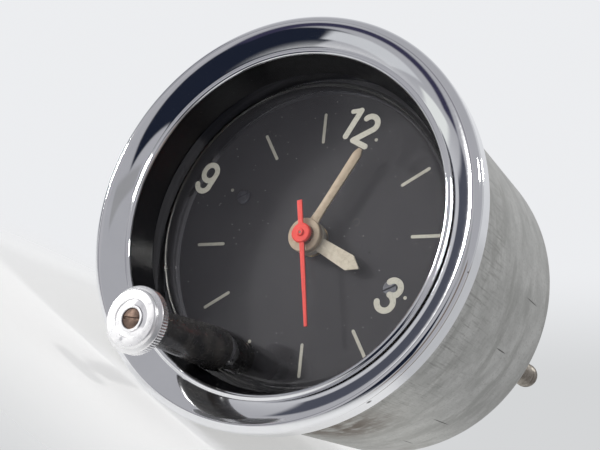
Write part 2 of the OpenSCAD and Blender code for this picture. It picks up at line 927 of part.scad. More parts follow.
// Screws in both ends of each pillar
module plate_screws() {
    head_h = 0.7;
    head_r = 1.5;
    grip = 3;
    slot_w = 0.35;
    color([0.55, 0.55, 0.58])
        for (p = pillar_at) {
            difference() {
                union() {
                    rod(p, front_plate_y - head_h, front_plate_y, head_r);
                    rod(p, front_plate_y, front_plate_back + grip, plate_screw_r);
                }
                at(p)
                    slab(front_plate_y - head_h - over, front_plate_y - head_h / 2)
                        square([4 * head_r, slot_w], center = true);
            }
            difference() {
                union() {
                    rod(p, rear_plate_back, rear_plate_back + head_h, head_r);
                    rod(p, rear_plate_y - grip, rear_plate_back, plate_screw_r);
                }
                at(p)
                    slab(rear_plate_back + head_h / 2, rear_plate_back + head_h + over)
                        square([4 * head_r, slot_w], center = true);
            }
        }
}

// Round holes that lighten a wheel
module wheel_windows(p, y) {
    n = 5;
    ring = train_dist / 2;
    r = 2;
    for (i = [0:n - 1])
        bore(p + ring * [cos(360 * i / n), sin(360 * i / n)], y - wheel_t / 2, y + wheel_t / 2, r);
}

module centre_wheel() {
    y = layer_y(0);
    front = dial_y - minute_h - minute_hub_front - 2 * run;
    color([0.8, 0.7, 0.4])
        difference() {
            union() {
                gear(axis_p, y, wheel_t, centre_z, train_module, centre_phase);
                rod(axis_p, front, y + pinion_half, tube_r);
            }
            wheel_windows(axis_p, y);
            bore(axis_p, front, y + pinion_half, tube_in_r);
        }
}

module third_wheel() {
    y = layer_y(1);
    color([0.8, 0.7, 0.4])
        difference() {
            union() {
                gear(third_p, layer_y(0), 2 * pinion_half, third_pinion_z, train_module, third_pinion_phase);
                gear(third_p, y, wheel_t, third_z, third_module, third_phase);
                rod(third_p, front_plate_y + pass, armature_back, pivot_r);
            }
            wheel_windows(third_p, y);
        }
}

// Seconds arbor with its pinion and the fourth wheel
module seconds_wheel() {
    y = layer_y(2);
    front = dial_y - second_h - second_hub_h - run;
    color([0.8, 0.7, 0.4])
        difference() {
            union() {
                gear(axis_p, layer_y(1), 2 * pinion_half, seconds_pinion_z, third_module, seconds_pinion_phase);
                gear(axis_p, y, wheel_t, fourth_z, train_module, fourth_phase);
                rod(axis_p, front, rear_plate_back - pass, seconds_arbor_r);
            }
            wheel_windows(axis_p, y);
        }
}

module escape_wheel() {
    y = layer_y(3);
    root_r = escape_r - 1;
    lean = 0.35;
    land = 0.1;
    heel = 0.6;
    tooth = [[root_r, 0], [escape_r, lean], [escape_r, lean + land], [root_r, heel]];
    color([0.8, 0.72, 0.45]) {
        at(escape_p)
            slab(y - wheel_t / 2, y + wheel_t / 2)
                polygon([for (i = [0:escape_z - 1]) for (s = tooth)
                    let(a = (i + s[1]) * 360 / escape_z) [s[0] * cos(a), s[0] * sin(a)]]);
        gear(escape_p, layer_y(2), 2 * pinion_half, escape_pinion_z, train_module, escape_pinion_phase);
        rod(escape_p, front_plate_y + pass, rear_plate_back - pass, pivot_r);
    }
}

roller_r = 1.1;
lever_y = layer_y(3) + wheel_t / 2 + pass;
lever_t = 0.4;

// Lever with two pins beside the escape wheel and a fork towards the balance
module pallet_lever() {
    pin_r = 0.22;
    pin_clear = 0.4;
    pin_spread = 33;
    arm_w = 0.9;
    pin_dist = escape_r + pin_r + pin_clear;
    pin_at = [for (s = [-1, 1]) let(a = lever_dir + s * pin_spread) escape_p + pin_dist * [cos(a), sin(a)]];
    fork_end = lever_p + (balance_dist - roller_r - pin_clear - arm_w / 2) * lever_u;
    color([0.6, 0.6, 0.62]) {
        slab(lever_y, lever_y + lever_t) {
            stroke(lever_p, fork_end, arm_w);
            for (p = pin_at)
                stroke(lever_p, p, arm_w);
        }
        for (p = pin_at)
            rod(p, layer_y(3) - wheel_t / 2, lever_y + lever_t / 2, pin_r);
        rod(lever_p, front_plate_y + pass, rear_plate_back - pass, pivot_r);
    }
}

balance_lift = 1.2;
balance_y = rear_plate_back + balance_lift;
balance_t = 1.2;
hairspring_lift = 0.5;
hairspring_y = balance_y + balance_t + hairspring_lift;
hairspring_h = 0.6;
hairspring_in_r = 1;
cock_lift = 0.6;
cock_y = hairspring_y + hairspring_h + cock_lift;
cock_t = 1.1;
cock_foot_r = 1.8;
cock_dir = -105;
cock_foot_dist = balance_r + cock_foot_r + cock_lift;
cock_foot_p = balance_p + cock_foot_dist * [cos(cock_dir), sin(cock_dir)];
cock_w = 3;
boss_r = 1.1;
boss_h = 0.5;

module balance_wheel() {
    rim = 1;
    spoke_w = 0.9;
    color([0.8, 0.7, 0.4]) {
        tube(balance_p, balance_y, balance_y + balance_t, balance_r, balance_r - rim);
        at(balance_p)
            slab(balance_y + balance_t / 4, balance_y + balance_t * 3 / 4)
                square([spoke_w, 2 * balance_r - rim], center = true);
        rod(balance_p, front_plate_y + pass, cock_y + cock_t - pass, pivot_r);
        rod(balance_p, lever_y, lever_y + lever_t, roller_r);
        rod(balance_p, balance_y + balance_t * 3 / 4, hairspring_y + hairspring_h, hairspring_in_r);
    }
}

// Flat spiral from the collet outwards
module hairspring() {
    turns = 5;
    steps = 24;
    strip = 0.14;
    out_r = balance_r * 0.6;
    step_r = (out_r - hairspring_in_r) / turns;
    n = turns * steps;
    inner = [for (i = [0:n]) let(a = 360 * i / steps)
        (hairspring_in_r + step_r * i / steps) * [cos(a), sin(a)]];
    outer = [for (i = [n:-1:0]) let(a = 360 * i / steps)
        (hairspring_in_r + step_r * i / steps + strip) * [cos(a), sin(a)]];
    color([0.35, 0.4, 0.55])
        at(balance_p)
            slab(hairspring_y, hairspring_y + hairspring_h)
                polygon(concat(inner, outer));
}

module balance_cock() {
    color([0.78, 0.68, 0.4])
        difference() {
            union() {
                slab(cock_y, cock_y + cock_t)
                    stroke(balance_p, cock_foot_p, cock_w);
                rod(cock_foot_p, rear_plate_back, cock_y + cock_t, cock_foot_r);
                rod(balance_p, cock_y, cock_y + cock_t + boss_h, boss_r);
            }
            rod(balance_p, cock_y - over, cock_y + cock_t, pivot_r + run);
            bore(cock_foot_p, rear_plate_back, cock_y + cock_t, plate_screw_r + seat);
        }
}

module cock_screw() {
    head_r = 1.4;
    head_h = 0.7;
    top = cock_y + cock_t;
    slot_w = 0.35;
    color([0.55, 0.55, 0.58])
        difference() {
            union() {
                rod(cock_foot_p, top, top + head_h, head_r);
                rod(cock_foot_p, rear_plate_back, top, plate_screw_r);
            }
            at(cock_foot_p)
                slab(top + head_h / 2, top + head_h + over)
                    square([4 * head_r, slot_w], center = true);
        }
}

// Arm that turns on the cock's boss to set the rate
module regulator_index() {
    y = cock_y + cock_t + run;
    arm_dir = 100;
    arm_len = 5;
    arm_w = 1;
    ring_w = 0.8;
    color([0.6, 0.6, 0.62])
        difference() {
            slab(y, y + boss_h - run) {
                translate(balance_p)
                    circle(boss_r + ring_w);
                stroke(balance_p, balance_p + arm_len * [cos(arm_dir), sin(arm_dir)], arm_w);
            }
            bore(balance_p, y, y + boss_h, boss_r + run);
        }
}

// Rewind

ratchet_y = rear_plate_back + 2 * pass;
ratchet_r = 3.2;
ratchet_tooth = 0.5;
armature_lift = 0.5;
armature_y = ratchet_y + wheel_t + armature_lift;
armature_t = 1.2;
armature_back = armature_y + armature_t + pass;
arm_w = 1.4;
arm_eye_r = 0.85;
coil_flange_r = 4;
coil_y = rear_plate_back + coil_flange_r + 2 * pass;
coil_z = 9.2;
coil_x0 = -12;
coil_x1 = -1;
core_r = 1.5;
pole_len = 0.6;
pole_x = coil_x0 - pole_len;
pole_gap = 0.3;
shoe_t = 1.6;
shoe_h = 5;
shoe_p = [pole_x - pole_gap - shoe_t / 2, coil_z];
elbow_p = [shoe_p[0], coil_z - coil_flange_r - pole_gap - arm_w];
tail_p = third_p + [-0.4, -7];
hook_p = third_p + [-5.2, -2.6];
spring_post_p = hook_p + [-2.25, -6.3];
pawl_p = third_p + [3.4, 4.4];
pawl_pin_r = 0.45;
hook_r = 0.5;

module ratchet_wheel() {
    undercut = 0.1;
    tooth = [[ratchet_r - ratchet_tooth, 0], [ratchet_r, -undercut]];
    color([0.7, 0.7, 0.7])
        difference() {
            at(third_p)
                slab(ratchet_y, ratchet_y + wheel_t)
                    polygon([for (i = [0:ratchet_z - 1]) for (s = tooth)
                        let(a = (i + s[1]) * 360 / ratchet_z) [s[0] * cos(a), s[0] * sin(a)]]);
            bore(third_p, ratchet_y, ratchet_y + wheel_t, pivot_r + seat);
        }
}

// Rocking iron arm with a pole shoe, a contact tail and a hook for the drive spring
module armature() {
    hub_wall = 1.3;
    shoe_back = coil_y + core_r + pole_gap;
    color([0.5, 0.5, 0.5])
        difference() {
            union() {
                slab(armature_y, armature_y + armature_t) {
                    for (p = [elbow_p, tail_p, hook_p, pawl_p]) {
                        bar(third_p, p, arm_w);
                        translate(p)
                            circle(arm_eye_r);
                    }
                    bar(elbow_p, shoe_p, arm_w);
                    translate(third_p)
                        circle(pivot_r + hub_wall);
                }
                translate([shoe_p[0] - shoe_t / 2, armature_y, shoe_p[1] - shoe_h / 2])
                    cube([shoe_t, shoe_back - armature_y, shoe_h]);
                rod(pawl_p, ratchet_y, armature_y + armature_t, pawl_pin_r);
                rod(hook_p, ratchet_y, armature_y, hook_r);
            }
            bore(third_p, armature_y, armature_y + armature_t, pivot_r + run);
        }
}

// Finger on the armature's pin that reaches along the rim of the ratchet wheel
module drive_pawl() {
    finger_w = 0.6;
    finger_len = 2.6;
    eye_wall = 0.55;
    pull = unit(third_p - pawl_p);
    side = [-pull[1], pull[0]];
    tip_r = ratchet_r + finger_w / 2 + pass;
    tip = third_p - tip_r * unit(third_p - pawl_p - finger_len * side);
    color([0.65, 0.65, 0.65])
        difference() {
            slab(ratchet_y, ratchet_y + wheel_t) {
                translate(pawl_p)
                    circle(pawl_pin_r + eye_wall);
                stroke(pawl_p, tip, finger_w);
            }
            bore(pawl_p, ratchet_y, ratchet_y + wheel_t, pawl_pin_r + run);
        }
}

function unit(v) = v / norm(v);

// Pull spring between the armature's hook and its post on the rear plate
module drive_spring() {
    spring_r = 0.5;
    y = (ratchet_y + armature_y) / 2;
    gap = hook_r + run;
    span = norm(hook_p - spring_post_p);
    u = unit(spring_post_p - hook_p);
    start = hook_p + gap * u;
    color([0.6, 0.6, 0.6])
        translate([start[0], y, start[1]])
            rotate([0, 90 - bearing(axis_p, u), 0])
                cylinder(h = span - 2 * gap, r = spring_r);
}

module spring_post() {
    color([0.6, 0.6, 0.6])
        rod(spring_post_p, rear_plate_back, armature_y, hook_r);
}

// Round bar along X through the coil's axis
module coil_rod(x0, x1, r) {
    translate([x0, coil_y, coil_z])
        rotate([0, 90, 0])
            cylinder(h = x1 - x0, r = r);
}

bobbin_flange_t = 0.8;
bobbin_wall = 0.4;

module coil_bobbin() {
    color([0.2, 0.2, 0.2])
        difference() {
            union() {
                coil_rod(coil_x0, coil_x1, core_r + bobbin_wall);
                coil_rod(coil_x0, coil_x0 + bobbin_flange_t, coil_flange_r);
                coil_rod(coil_x1 - bobbin_flange_t, coil_x1, coil_flange_r);
            }
            coil_rod(coil_x0 - over, coil_x1 + over, core_r + seat);
        }
}

module coil_winding() {
    winding_r = coil_flange_r - 0.3;
    color([0.6, 0.3, 0.15])
        difference() {
            coil_rod(coil_x0 + bobbin_flange_t, coil_x1 - bobbin_flange_t, winding_r);
            coil_rod(coil_x0, coil_x1, core_r + bobbin_wall);
        }
}

// Iron core on a yoke that stands on the rear plate
module coil_core() {
    yoke_t = 1.2;
    yoke_w = 6;
    yoke_back = coil_y + core_r + yoke_t;
    color([0.45, 0.45, 0.47]) {
        coil_rod(pole_x, coil_x1 + yoke_t, core_r);
        translate([coil_x1, rear_plate_back, coil_z - yoke_w / 2])
            cube([yoke_t, yoke_back - rear_plate_back, yoke_w]);
    }
}

contact_t = 0.25;
contact_x = third_p[0] + 2.95;
block_w = 3;
block_p = [contact_x + contact_t + block_w / 2, tail_p[1] - 3.3];

module contact_block() {
    color([0.35, 0.18, 0.1])
        translate([block_p[0] - block_w / 2, rear_plate_back, block_p[1] - block_w / 2])
            cube([block_w, armature_y + armature_t - rear_plate_back, block_w]);
}

// Spring blade beside the armature's tail
module contact_blade() {
    contact_overlap = 1;
    foot_z = block_p[1] - block_w / 2;
    tip_z = tail_p[1] + contact_overlap;
    color([0.75, 0.6, 0.3])
        translate([contact_x, armature_y, foot_z])
            cube([contact_t, armature_t, tip_z - foot_z]);
}

// Rear fittings

bush_wall = 0.8;
stud_grip = 1;
nut_t = 2.2;
shank_r = stud_r + shank_step;

module mounting_studs() {
    point = 0.8;
    start = rear_plate_back + stud_grip;
    shank_end = can_depth + nut_t;
    end = can_depth + stud_len;
    color([0.4, 0.33, 0.26])
        for (p = stud_at)
            at(p)
                lathe()
                    polygon(concat(
                        [[0, start], [shank_r, start], [shank_r, shank_end], [stud_r, shank_end]],
                        arc([stud_r - point, end - point], point, 0, 90, 6),
                        [[0, end]]));
}

module stud_bushes() {
    color([0.7, 0.6, 0.35])
        for (p = stud_at)
            tube(p, rear_plate_back, can_back_in, shank_r + bush_wall, shank_r + seat);
}

// Hexagon nut round a hole of radius r
module nut(p, y, t, r, width) {
    difference() {
        at(p)
            slab(y, y + t)
                circle(d = width / cos(30), $fn = 6);
        bore(p, y, y + t, r + seat);
    }
}

module stud_nuts() {
    color([0.6, 0.58, 0.5])
        for (p = stud_at)
            nut(p, can_depth, nut_t, shank_r, stud_r * 3.5);
}

insulator_wall = 0.9;
insulator_neck_r = terminal_r + insulator_wall;
insulator_r = terminal_r + 2;
insulator_t = 1.2;
terminal_len = 7;
terminal_end = can_depth + insulator_t + terminal_len;

module terminal_post() {
    head_t = 2;
    head_r = terminal_r + 1;
    head_back = can_back_in - insulator_t;
    color([0.75, 0.6, 0.3]) {
        rod(terminal_p, head_back - head_t / 2, terminal_end, terminal_r);
        rod(terminal_p, head_back - head_t, head_back, head_r);
    }
}

module terminal_insulators() {
    color([0.3, 0.16, 0.1])
        difference() {
            union() {
                rod(terminal_p, can_back_in - insulator_t, can_back_in, insulator_r);
                rod(terminal_p, can_back_in, can_depth, insulator_neck_r);
                rod(terminal_p, can_depth, can_depth + insulator_t, insulator_r);
            }
            bore(terminal_p, can_back_in - insulator_t, can_depth + insulator_t, terminal_r + seat);
        }
}

module terminal_nut() {
    color([0.75, 0.6, 0.3])
        nut(terminal_p, can_depth + insulator_t, nut_t, terminal_r, terminal_r * 3.6);
}

lamp_wall = 0.5;
bulb_r = lamp_r - lamp_wall - pass;
lamp_deep = 6;
lamp_front = can_back_in - lamp_deep;
lamp_rim_t = 1;

module lamp_holder() {
    flange = 1.3;
    color([0.7, 0.68, 0.6])
        difference() {
            union() {
                rod(lamp_p, lamp_front, can_depth + lamp_rim_t, lamp_r);
                rod(lamp_p, can_depth, can_depth + lamp_rim_t, lamp_r + flange);
            }
            rod(lamp_p, lamp_front - over, can_depth - lamp_rim_t, lamp_r - lamp_wall);
        }
}

// Glass bulb seated in its holder
module lamp_bulb() {
    bulb_len = 5;
    dome_y = lamp_front - bulb_len;
    bulb_back = can_depth - lamp_rim_t;
    color([0.9, 0.9, 0.85, 0.4])
        at(lamp_p)
            lathe()
                polygon(concat(arc([0, dome_y], bulb_r, -90, 0, 8), [[bulb_r, bulb_back], [0, bulb_back]]));
}

case_can();
support_ring();
bezel();
shade_ring();
lens_gasket();
lens();
lens_numerals();
spacer_ring();
dial_plate();
dial_markings();
dial_screws();
dial_posts();
hour_hand();
minute_hand();
second_hand();
setting_knob();
knob_screw();
setting_arbor();
stem_sleeve();
stem_bush();
stem_washer();
stem_spring();
setting_pinion();
setting_post();
cannon_pinion();
minute_wheel();
minute_post();
hour_wheel();
front_plate();
rear_plate();
pillars();
plate_screws();
centre_wheel();
third_wheel();
seconds_wheel();
escape_wheel();
pallet_lever();
balance_wheel();
hairspring();
balance_cock();
cock_screw();
regulator_index();
ratchet_wheel();
armature();
drive_pawl();
drive_spring();
spring_post();
coil_bobbin();
coil_winding();
coil_core();
contact_block();
contact_blade();
mounting_studs();
stud_bushes();
stud_nuts();
terminal_post();
terminal_insulators();
terminal_nut();
lamp_holder();
lamp_bulb();
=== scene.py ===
import json
import math

import bmesh
import bpy
from mathutils import Matrix, Vector

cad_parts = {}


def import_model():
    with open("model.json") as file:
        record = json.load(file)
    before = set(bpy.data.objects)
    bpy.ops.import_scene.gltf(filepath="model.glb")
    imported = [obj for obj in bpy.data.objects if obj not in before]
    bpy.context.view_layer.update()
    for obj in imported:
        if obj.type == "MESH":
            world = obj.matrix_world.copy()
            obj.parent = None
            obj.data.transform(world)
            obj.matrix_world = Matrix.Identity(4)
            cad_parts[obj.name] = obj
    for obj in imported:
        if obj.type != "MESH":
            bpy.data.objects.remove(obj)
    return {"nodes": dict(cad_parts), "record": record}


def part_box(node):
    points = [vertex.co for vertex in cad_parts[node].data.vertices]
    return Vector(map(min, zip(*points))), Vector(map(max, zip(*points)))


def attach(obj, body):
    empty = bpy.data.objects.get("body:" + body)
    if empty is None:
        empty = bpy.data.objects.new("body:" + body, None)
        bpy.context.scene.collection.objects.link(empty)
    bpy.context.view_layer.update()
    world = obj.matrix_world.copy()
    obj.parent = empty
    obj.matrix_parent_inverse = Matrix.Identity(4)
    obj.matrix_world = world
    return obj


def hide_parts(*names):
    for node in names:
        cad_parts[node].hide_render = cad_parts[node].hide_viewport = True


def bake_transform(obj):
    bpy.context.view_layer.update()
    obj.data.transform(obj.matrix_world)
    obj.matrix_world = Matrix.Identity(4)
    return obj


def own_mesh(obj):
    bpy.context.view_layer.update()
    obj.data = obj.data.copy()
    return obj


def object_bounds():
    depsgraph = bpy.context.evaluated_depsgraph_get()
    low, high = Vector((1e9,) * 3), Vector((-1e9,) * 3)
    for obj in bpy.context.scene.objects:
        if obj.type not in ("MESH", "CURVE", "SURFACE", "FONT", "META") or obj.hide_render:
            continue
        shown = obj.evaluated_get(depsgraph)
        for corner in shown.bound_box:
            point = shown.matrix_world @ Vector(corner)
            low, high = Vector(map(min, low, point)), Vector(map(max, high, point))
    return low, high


# Looks of a car dashboard clock. Lengths are in millimetres. Y runs from the viewer into the
# panel, Z towards 12 o'clock and X towards 3 o'clock.
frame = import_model()
CAD_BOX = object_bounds()
MM = 0.001
NODES = frame["nodes"]
BODIES = frame["record"]["behaviour"]["bodies"]
JOINTS = {joint["name"]: joint for joint in frame["record"]["behaviour"]["joints"]}
BODY_OF = {node: body for body, members in BODIES.items() for node in members}

# Camera, with angles in degrees
CAMERA_AT = (71.1506, -105.1273, -0.7463)
CAMERA_HEADING = -33.0299
CAMERA_PITCH = 0.6804
CAMERA_ROLL = 32.1784
CAMERA_LENS = 58.084
CAMERA_SENSOR = 36
CAMERA_CLIP = 1

# Light and background
LAMP_AWAY = 450
LAMP_COLOUR = (1.0, 0.99, 0.97)
WINDOW = {"toward": (-0.802, -0.593, -0.070), "size": 40, "power": 0.75}
CEILING = {"toward": (0.50, -0.17, 0.85), "size": 60, "power": 0.5}
LIGHT_SHARE = 0.6
SEEN_RAYS = ("Is Camera Ray", "Is Glossy Ray", "Is Transmission Ray")
SKY_HIGH = (0.84, 0.85, 0.87)
SKY_LOW = (0.66, 0.67, 0.68)
SKY_EDGE = (-0.16, -0.04)
SKY_FRONT = (0.42, 0.42, 0.445)
FRONT_FADE = (-1.2, 0.0)
GLOW_COLOUR = (5.2, 5.15, 5.0)
GLOW_TOWARD = (-0.75, -0.65, -0.10)
GLOW_FADE = (0.55, 0.97)
# Dark panel that the bezel's face mirrors, with its limits along two axes
PANEL_COLOUR = (0.012, 0.016, 0.030)
PANEL_ALONG = (-0.716, 0.245, -0.654)
PANEL_ENDS = (-0.55, 0.58)
PANEL_UP = (-0.696, -0.179, 0.695)
PANEL_SIDES = (-0.60, 0.14)
# Patches of the room that the plating and the lens mirror: heading and height of the middle, half
# the width and half the height in degrees, then the colour
ROOM = (
    (-71, 2, 11, 18, (0.075, 0.08, 0.105)),
    (-79, -27, 11, 7, (0.80, 0.82, 0.80)),
    (-44, -38, 16, 9, (0.62, 0.63, 0.65)),
    (-36, -20, 26, 4.5, (0.040, 0.038, 0.075)),
    (16, 15, 18, 6, (0.33, 0.33, 0.34)),
    (66, -10, 10, 35, (0.17, 0.13, 0.105)),
    (-39, 0, 6, 10, (0.25, 0.245, 0.27)),
    (-53.5, -4, 5, 9, (0.88, 0.88, 0.88)),
    (-22, 0, 12, 14, (0.46, 0.455, 0.48)),
)
FACING = (0.0, 0.1)
EDGE_SOFT = 0.05
FLOOR_DROP = 0.05
FLOOR_SOLID = 35
FLOOR_END = 80
FLOOR_STEPS = 96
FLOOR_TONES = ((0.60, 0.60, 0.60), (0.62, 0.62, 0.62))
FLOOR_GLOW = (0.42, 0.42, 0.42, 1)

# Clearances, and how far a cutter reaches past what it cuts
PASS = 0.2
RUN = 0.05
SEAT = 0.02
CUT_PAST = 1

# Bezel
BEZEL_SHEET = 0.5
LIP_ROUND = 0.4
LIP_DEPTH = -1.7
GROOVE_ROUND = 0.22
FACE_ROOT = (24.0, -2.05)
FACE_ROUND = 8
BEAD_ROUND = 0.9
BEZEL_NICK = (25.09, -2.06, -12.43)
CREASE = 0.06
SEAT_EDGE = 0.2
CRIMP_T = 0.5

# Can
CAN_R = 26.0
CAN_WALL = 0.6
CAN_CORNER = 0.9
FLANGE_T = 0.6
FLANGE_ROOT = 0.1
# Middle and half the length of each scratch
SCRATCHES = (
    ((24.31, 29.07, 9.22), 3.4),
    ((23.02, 27.10, -12.08), 4.0),
    ((25.98, 24.14, 0.89), 2.6),
    ((19.21, 30.34, -17.53), 2.6),
)
SCRATCH_HALF = 0.11
STAIN = (17.39, 11.5, -19.33)
STAIN_REACH = (2.0, 11.0)
HATCH_REACH = (8, 20)

# Shade, lens and dial
SHADE_LIP_GAP = 0.35
SHADE_REAR_IN = 0.85
LENS_T = 2.6
LENS_SKIRT = 1.4
LENS_FILLET = 1.5
LENS_EDGE = 0.1
LENS_MIDDLE = 0.5
FILLET_HOLD = 0.3
PRINT_GAP = 0.03
RING_MARK = (4.29, 5.25)
RING_MARK_R = (0.47, 0.53)
DIAL_NICK = (8.48, 10.26, 2.66)
SCREW_EDGE = 0.12
DIAL_SCREW_R = 1.05
DIAL_SCREW_BEVEL = 0.15
DIAL_SHANK_R = 0.5
DIAL_SLOT = {"deep": 0.18, "length": 3, "width": 0.3, "turn": 35}

# Hands. A station is a distance from the axis, or back from the tip, with half the width there.
HOUR_FROM_AXIS = ((1.6, 0.95),)
HOUR_FROM_TIP = ((1.7, 1.15), (0.05, 0.07))
MINUTE_FROM_AXIS = ((1.4, 0.9), (2.5, 0.72), (3.4, 0.62), (4.5, 0.6))
MINUTE_FROM_TIP = ((0.9, 0.66), (0.02, 0.3))
SECOND_FROM_AXIS = ((-4.8, 0.37), (-1.35, 0.35), (-1.2, 0.6), (0, 0.9), (1.2, 0.6), (1.35, 0.34))
SECOND_FROM_TIP = ((0, 0.22),)
BLADE_T = 0.3
BLADE_COLUMNS = 4
SECOND_T = 0.25
HOUR_CROWN = 0.22
MINUTE_CROWN = 0.2
SECOND_CROWN = 0.03
HUB_R = 2.45
HUB_BEVEL = 0.12
HOUR_HUB_BACK = 0.6
MINUTE_HUB_BACK = 0.4
SECOND_HUB_R = 1.4
SECOND_HUB_FLAT_R = 1.25
SECOND_BOSS = 0.4
BOSS_R = 0.95
BOSS_EDGE = 0.05
COLLAR_RISE = 0.22
COLLAR_R = 0.5
COLLAR_BEVEL = 0.1
COLLAR_FOOT = 0.05
COLLAR_BORE = 0.2
COLLAR_DEEP = 0.12
COLLAR_FLOOR = 0.03
PIN_R = 0.19
PIN_FLAT_R = 0.14
PIN_SINK = 0.04
PIN_EDGE = 0.04

# Stem
NECK_R = 2.4
SLEEVE_FRONT_R = 2.2
SLEEVE_REAR_R = 2.95
SLEEVE_ROUND = 0.35
KNURLS = 72
KNURL_DEEP = 0.11
KNURL_STEPS = 8
KNURL_RUN = 0.06
KNOB_DISC = 0.45
KNOB_DISC_R = 3.62
KNOB_BAND = 0.8
BAND_CORNER = ((0.12, 0.1), (0.03, 0.05))
KNOB_ROUND = 0.3
KNOB_RECESS_R = 1.27
KNOB_RECESS = 0.5
RECESS_EDGE = 0.07
FACE_GROOVE = (1.6, 2.36)
FACE_GROOVE_DEEP = 0.12
FACE_GROOVE_SLOPE = 0.06
NECK_GROOVE = 0.15
NECK_GROOVE_DEEP = 0.12
NECK_GROOVE_SLOPE = 0.03
KNOB_REAR_BEVEL = (0.2, 0.15)
KNOB_BORE_R = 1.02
KNOB_WEB = 0.8
# Part of the knob's ring groove, darkened on one side as painted shade and also dulled, and a dull worn
# spot, with places from the middle of the face
SHADED_GROOVE_RING = (1.6, 2.35)
GROOVE_SHADE_AT = (1.25, 1.6)
GROOVE_SHADE_REACH = (1.7, 2.2)
WORN_SPOT_AT = (0.45, -2.6)
WORN_SPOT_REACH = (0.15, 0.4)
KNOB_SCREW_R = 0.6
KNOB_SCREW_HEAD = 0.4
KNOB_SCREW_BEVEL = 0.2
KNOB_SLOT = {"deep": 0.2, "length": 4, "width": 0.35, "turn": 65}

# Springs. The pitches are in radii of the wire.
TURN_STEPS = 16
WIRE_SIDES = 6
WIRE_SHARE = 0.9
DRIVE_WIRE = 0.24
CLOSED_PITCH = 2.3
DRIVE_PITCH = 2.6

# Fittings on the back
THREAD_ROWS = 8
THREAD_DEEP = 0.45
NUT_ROWS = (0, 0.1, 0.2, 0.3, 0.4, 0.6)
NUT_EDGE = 0.15
NUT_BEVEL_START = 0.97
NUT_BEVEL_SLOPE = 1.73
STUD_R = 2.0
STUD_SHANK_R = 2.25
STUD_PITCH = 0.7
STUD_POINT = 0.8
STUD_NUT = 7.0
TERMINAL_R = 1.5
TERMINAL_PITCH = 0.5
TERMINAL_POINT = 0.4
TERMINAL_NUT = 5.4
TERMINAL_HEAD = 2
TERMINAL_HEAD_R = 2.5
TERMINAL_HEAD_EDGE = 0.2
INSULATOR_NECK_R = 2.2
INSULATOR_FRONT_EDGE = 0.15
INSULATOR_BACK_EDGE = 0.2
LAMP_R = 3.9
LAMP_WALL = 0.5
LAMP_FLOOR = 1
LAMP_RIM = 1.0
RIM_STEP = 0.35
RIM_BEVEL = (0.3, 0.2)
CAP_FOOT = 0.2
CAP_EDGE = 0.1
CAP_ROUND = 0.25
CAP_GROOVE = (1.45, 1.6, 2.2, 2.4)
RIVET_R = 1.0

# Materials: the range that a noise texture mostly stays in, the part of a line or a speck that has
# its full colour, and the width of one turn of the coil's wire
NOISE_RANGE = (0.3, 0.7)
MARK_CORE = 0.5
SPECK_CORE = 0.6
COIL_TURN = 0.2

# Limits of precision
ON_AXIS = 1e-6
TIP_SHARE = 0.999


# Reading the frame
def depths(node):
    """Front and back depth of a node."""
    low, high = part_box(node)
    return low.y / MM, high.y / MM


def middle(node):
    """Middle of a node in the plane of the dial, as (x, z)."""
    low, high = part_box(node)
    return (low.x + high.x) / 2 / MM, (low.z + high.z) / 2 / MM


def radii(node, centre=(0, 0)):
    """Least and greatest distance of a node's points from an axis along Y."""
    points = [v.co / MM for v in NODES[node].data.vertices]
    spans = [math.hypot(p.x - centre[0], p.z - centre[1]) for p in points]
    return min(spans), max(spans)


def pair_places(node, radius):
    """Places of two equal round pieces that share a node, left and right of the axis."""
    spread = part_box(node)[1].x / MM - radius
    return [(spread, 0), (-spread, 0)]


def pointing(node):
    """Direction of a hand in the plane of the dial, from its farthest points."""
    points = [Vector((v.co.x, v.co.z)) for v in NODES[node].data.vertices]
    far = max(p.length for p in points)
    tip = sum((p for p in points if p.length > far * TIP_SHARE), Vector((0, 0)))
    return tip.normalized()


# Building meshes
def at(x, y, z):
    return Vector((x, y, z)) * MM


def arc(centre, radius, start, end, steps):
    """Points on an arc of a (radius, depth) profile, with angles in degrees."""
    points = []
    for i in range(steps + 1):
        a = math.radians(start + (end - start) * i / steps)
        points.append((centre[0] + radius * math.cos(a), centre[1] + radius * math.sin(a)))
    return points


def bearing(a, b):
    """Direction from one point of a profile to another, in degrees."""
    return math.degrees(math.atan2(b[1] - a[1], b[0] - a[0]))


def circle_crossing(a, reach_a, b, reach_b):
    """Point at given distances from two points of a profile, on the left of the way from a to b, as
    seen with the radius to the right and the depth upwards."""
    span = (b - a).length
    along = (b - a) / span
    share = (reach_a ** 2 - reach_b ** 2 + span ** 2) / (2 * span)
    rise = math.sqrt(reach_a ** 2 - share ** 2)
    return a + along * share + Vector((-along.y, along.x)) * rise


def held(a, b, share=0.06):
    """A straight run from a to b, with points near its ends that keep its shading straight."""
    def between(t):
        return (a[0] + (b[0] - a[0]) * t, a[1] + (b[1] - a[1]) * t)
    return [a, between(share), between(1 - share), b]


def bridge(bm, a, b):
    """Faces between two rings of points. A ring of one point makes a fan."""
    count = max(len(a), len(b))
    for i in range(count):
        j = (i + 1) % count
        corners = [a[i % len(a)], a[j % len(a)], b[j % len(b)], b[i % len(b)]]
        corners = list(dict.fromkeys(corners))
        if len(corners) > 2:
            bm.faces.new(corners)


def turned(bm, profile, centre=(0, 0), steps=128, shape=None):
    """Body of revolution about an axis along Y, from a closed loop of (radius, depth)."""
    rings = []
    for radius, y in profile:
        if radius < ON_AXIS:
            rings.append([bm.verts.new(at(centre[0], y, centre[1]))])
            continue
        ring = []
        for i in range(steps):
            a = 2 * math.pi * i / steps
            r = shape(radius, y, a) if shape else radius
            ring.append(bm.verts.new(at(centre[0] + r * math.sin(a), y, centre[1] + r * math.cos(a))))
        rings.append(ring)
    for a, b in zip(rings, rings[1:] + rings[:1]):
        bridge(bm, a, b)


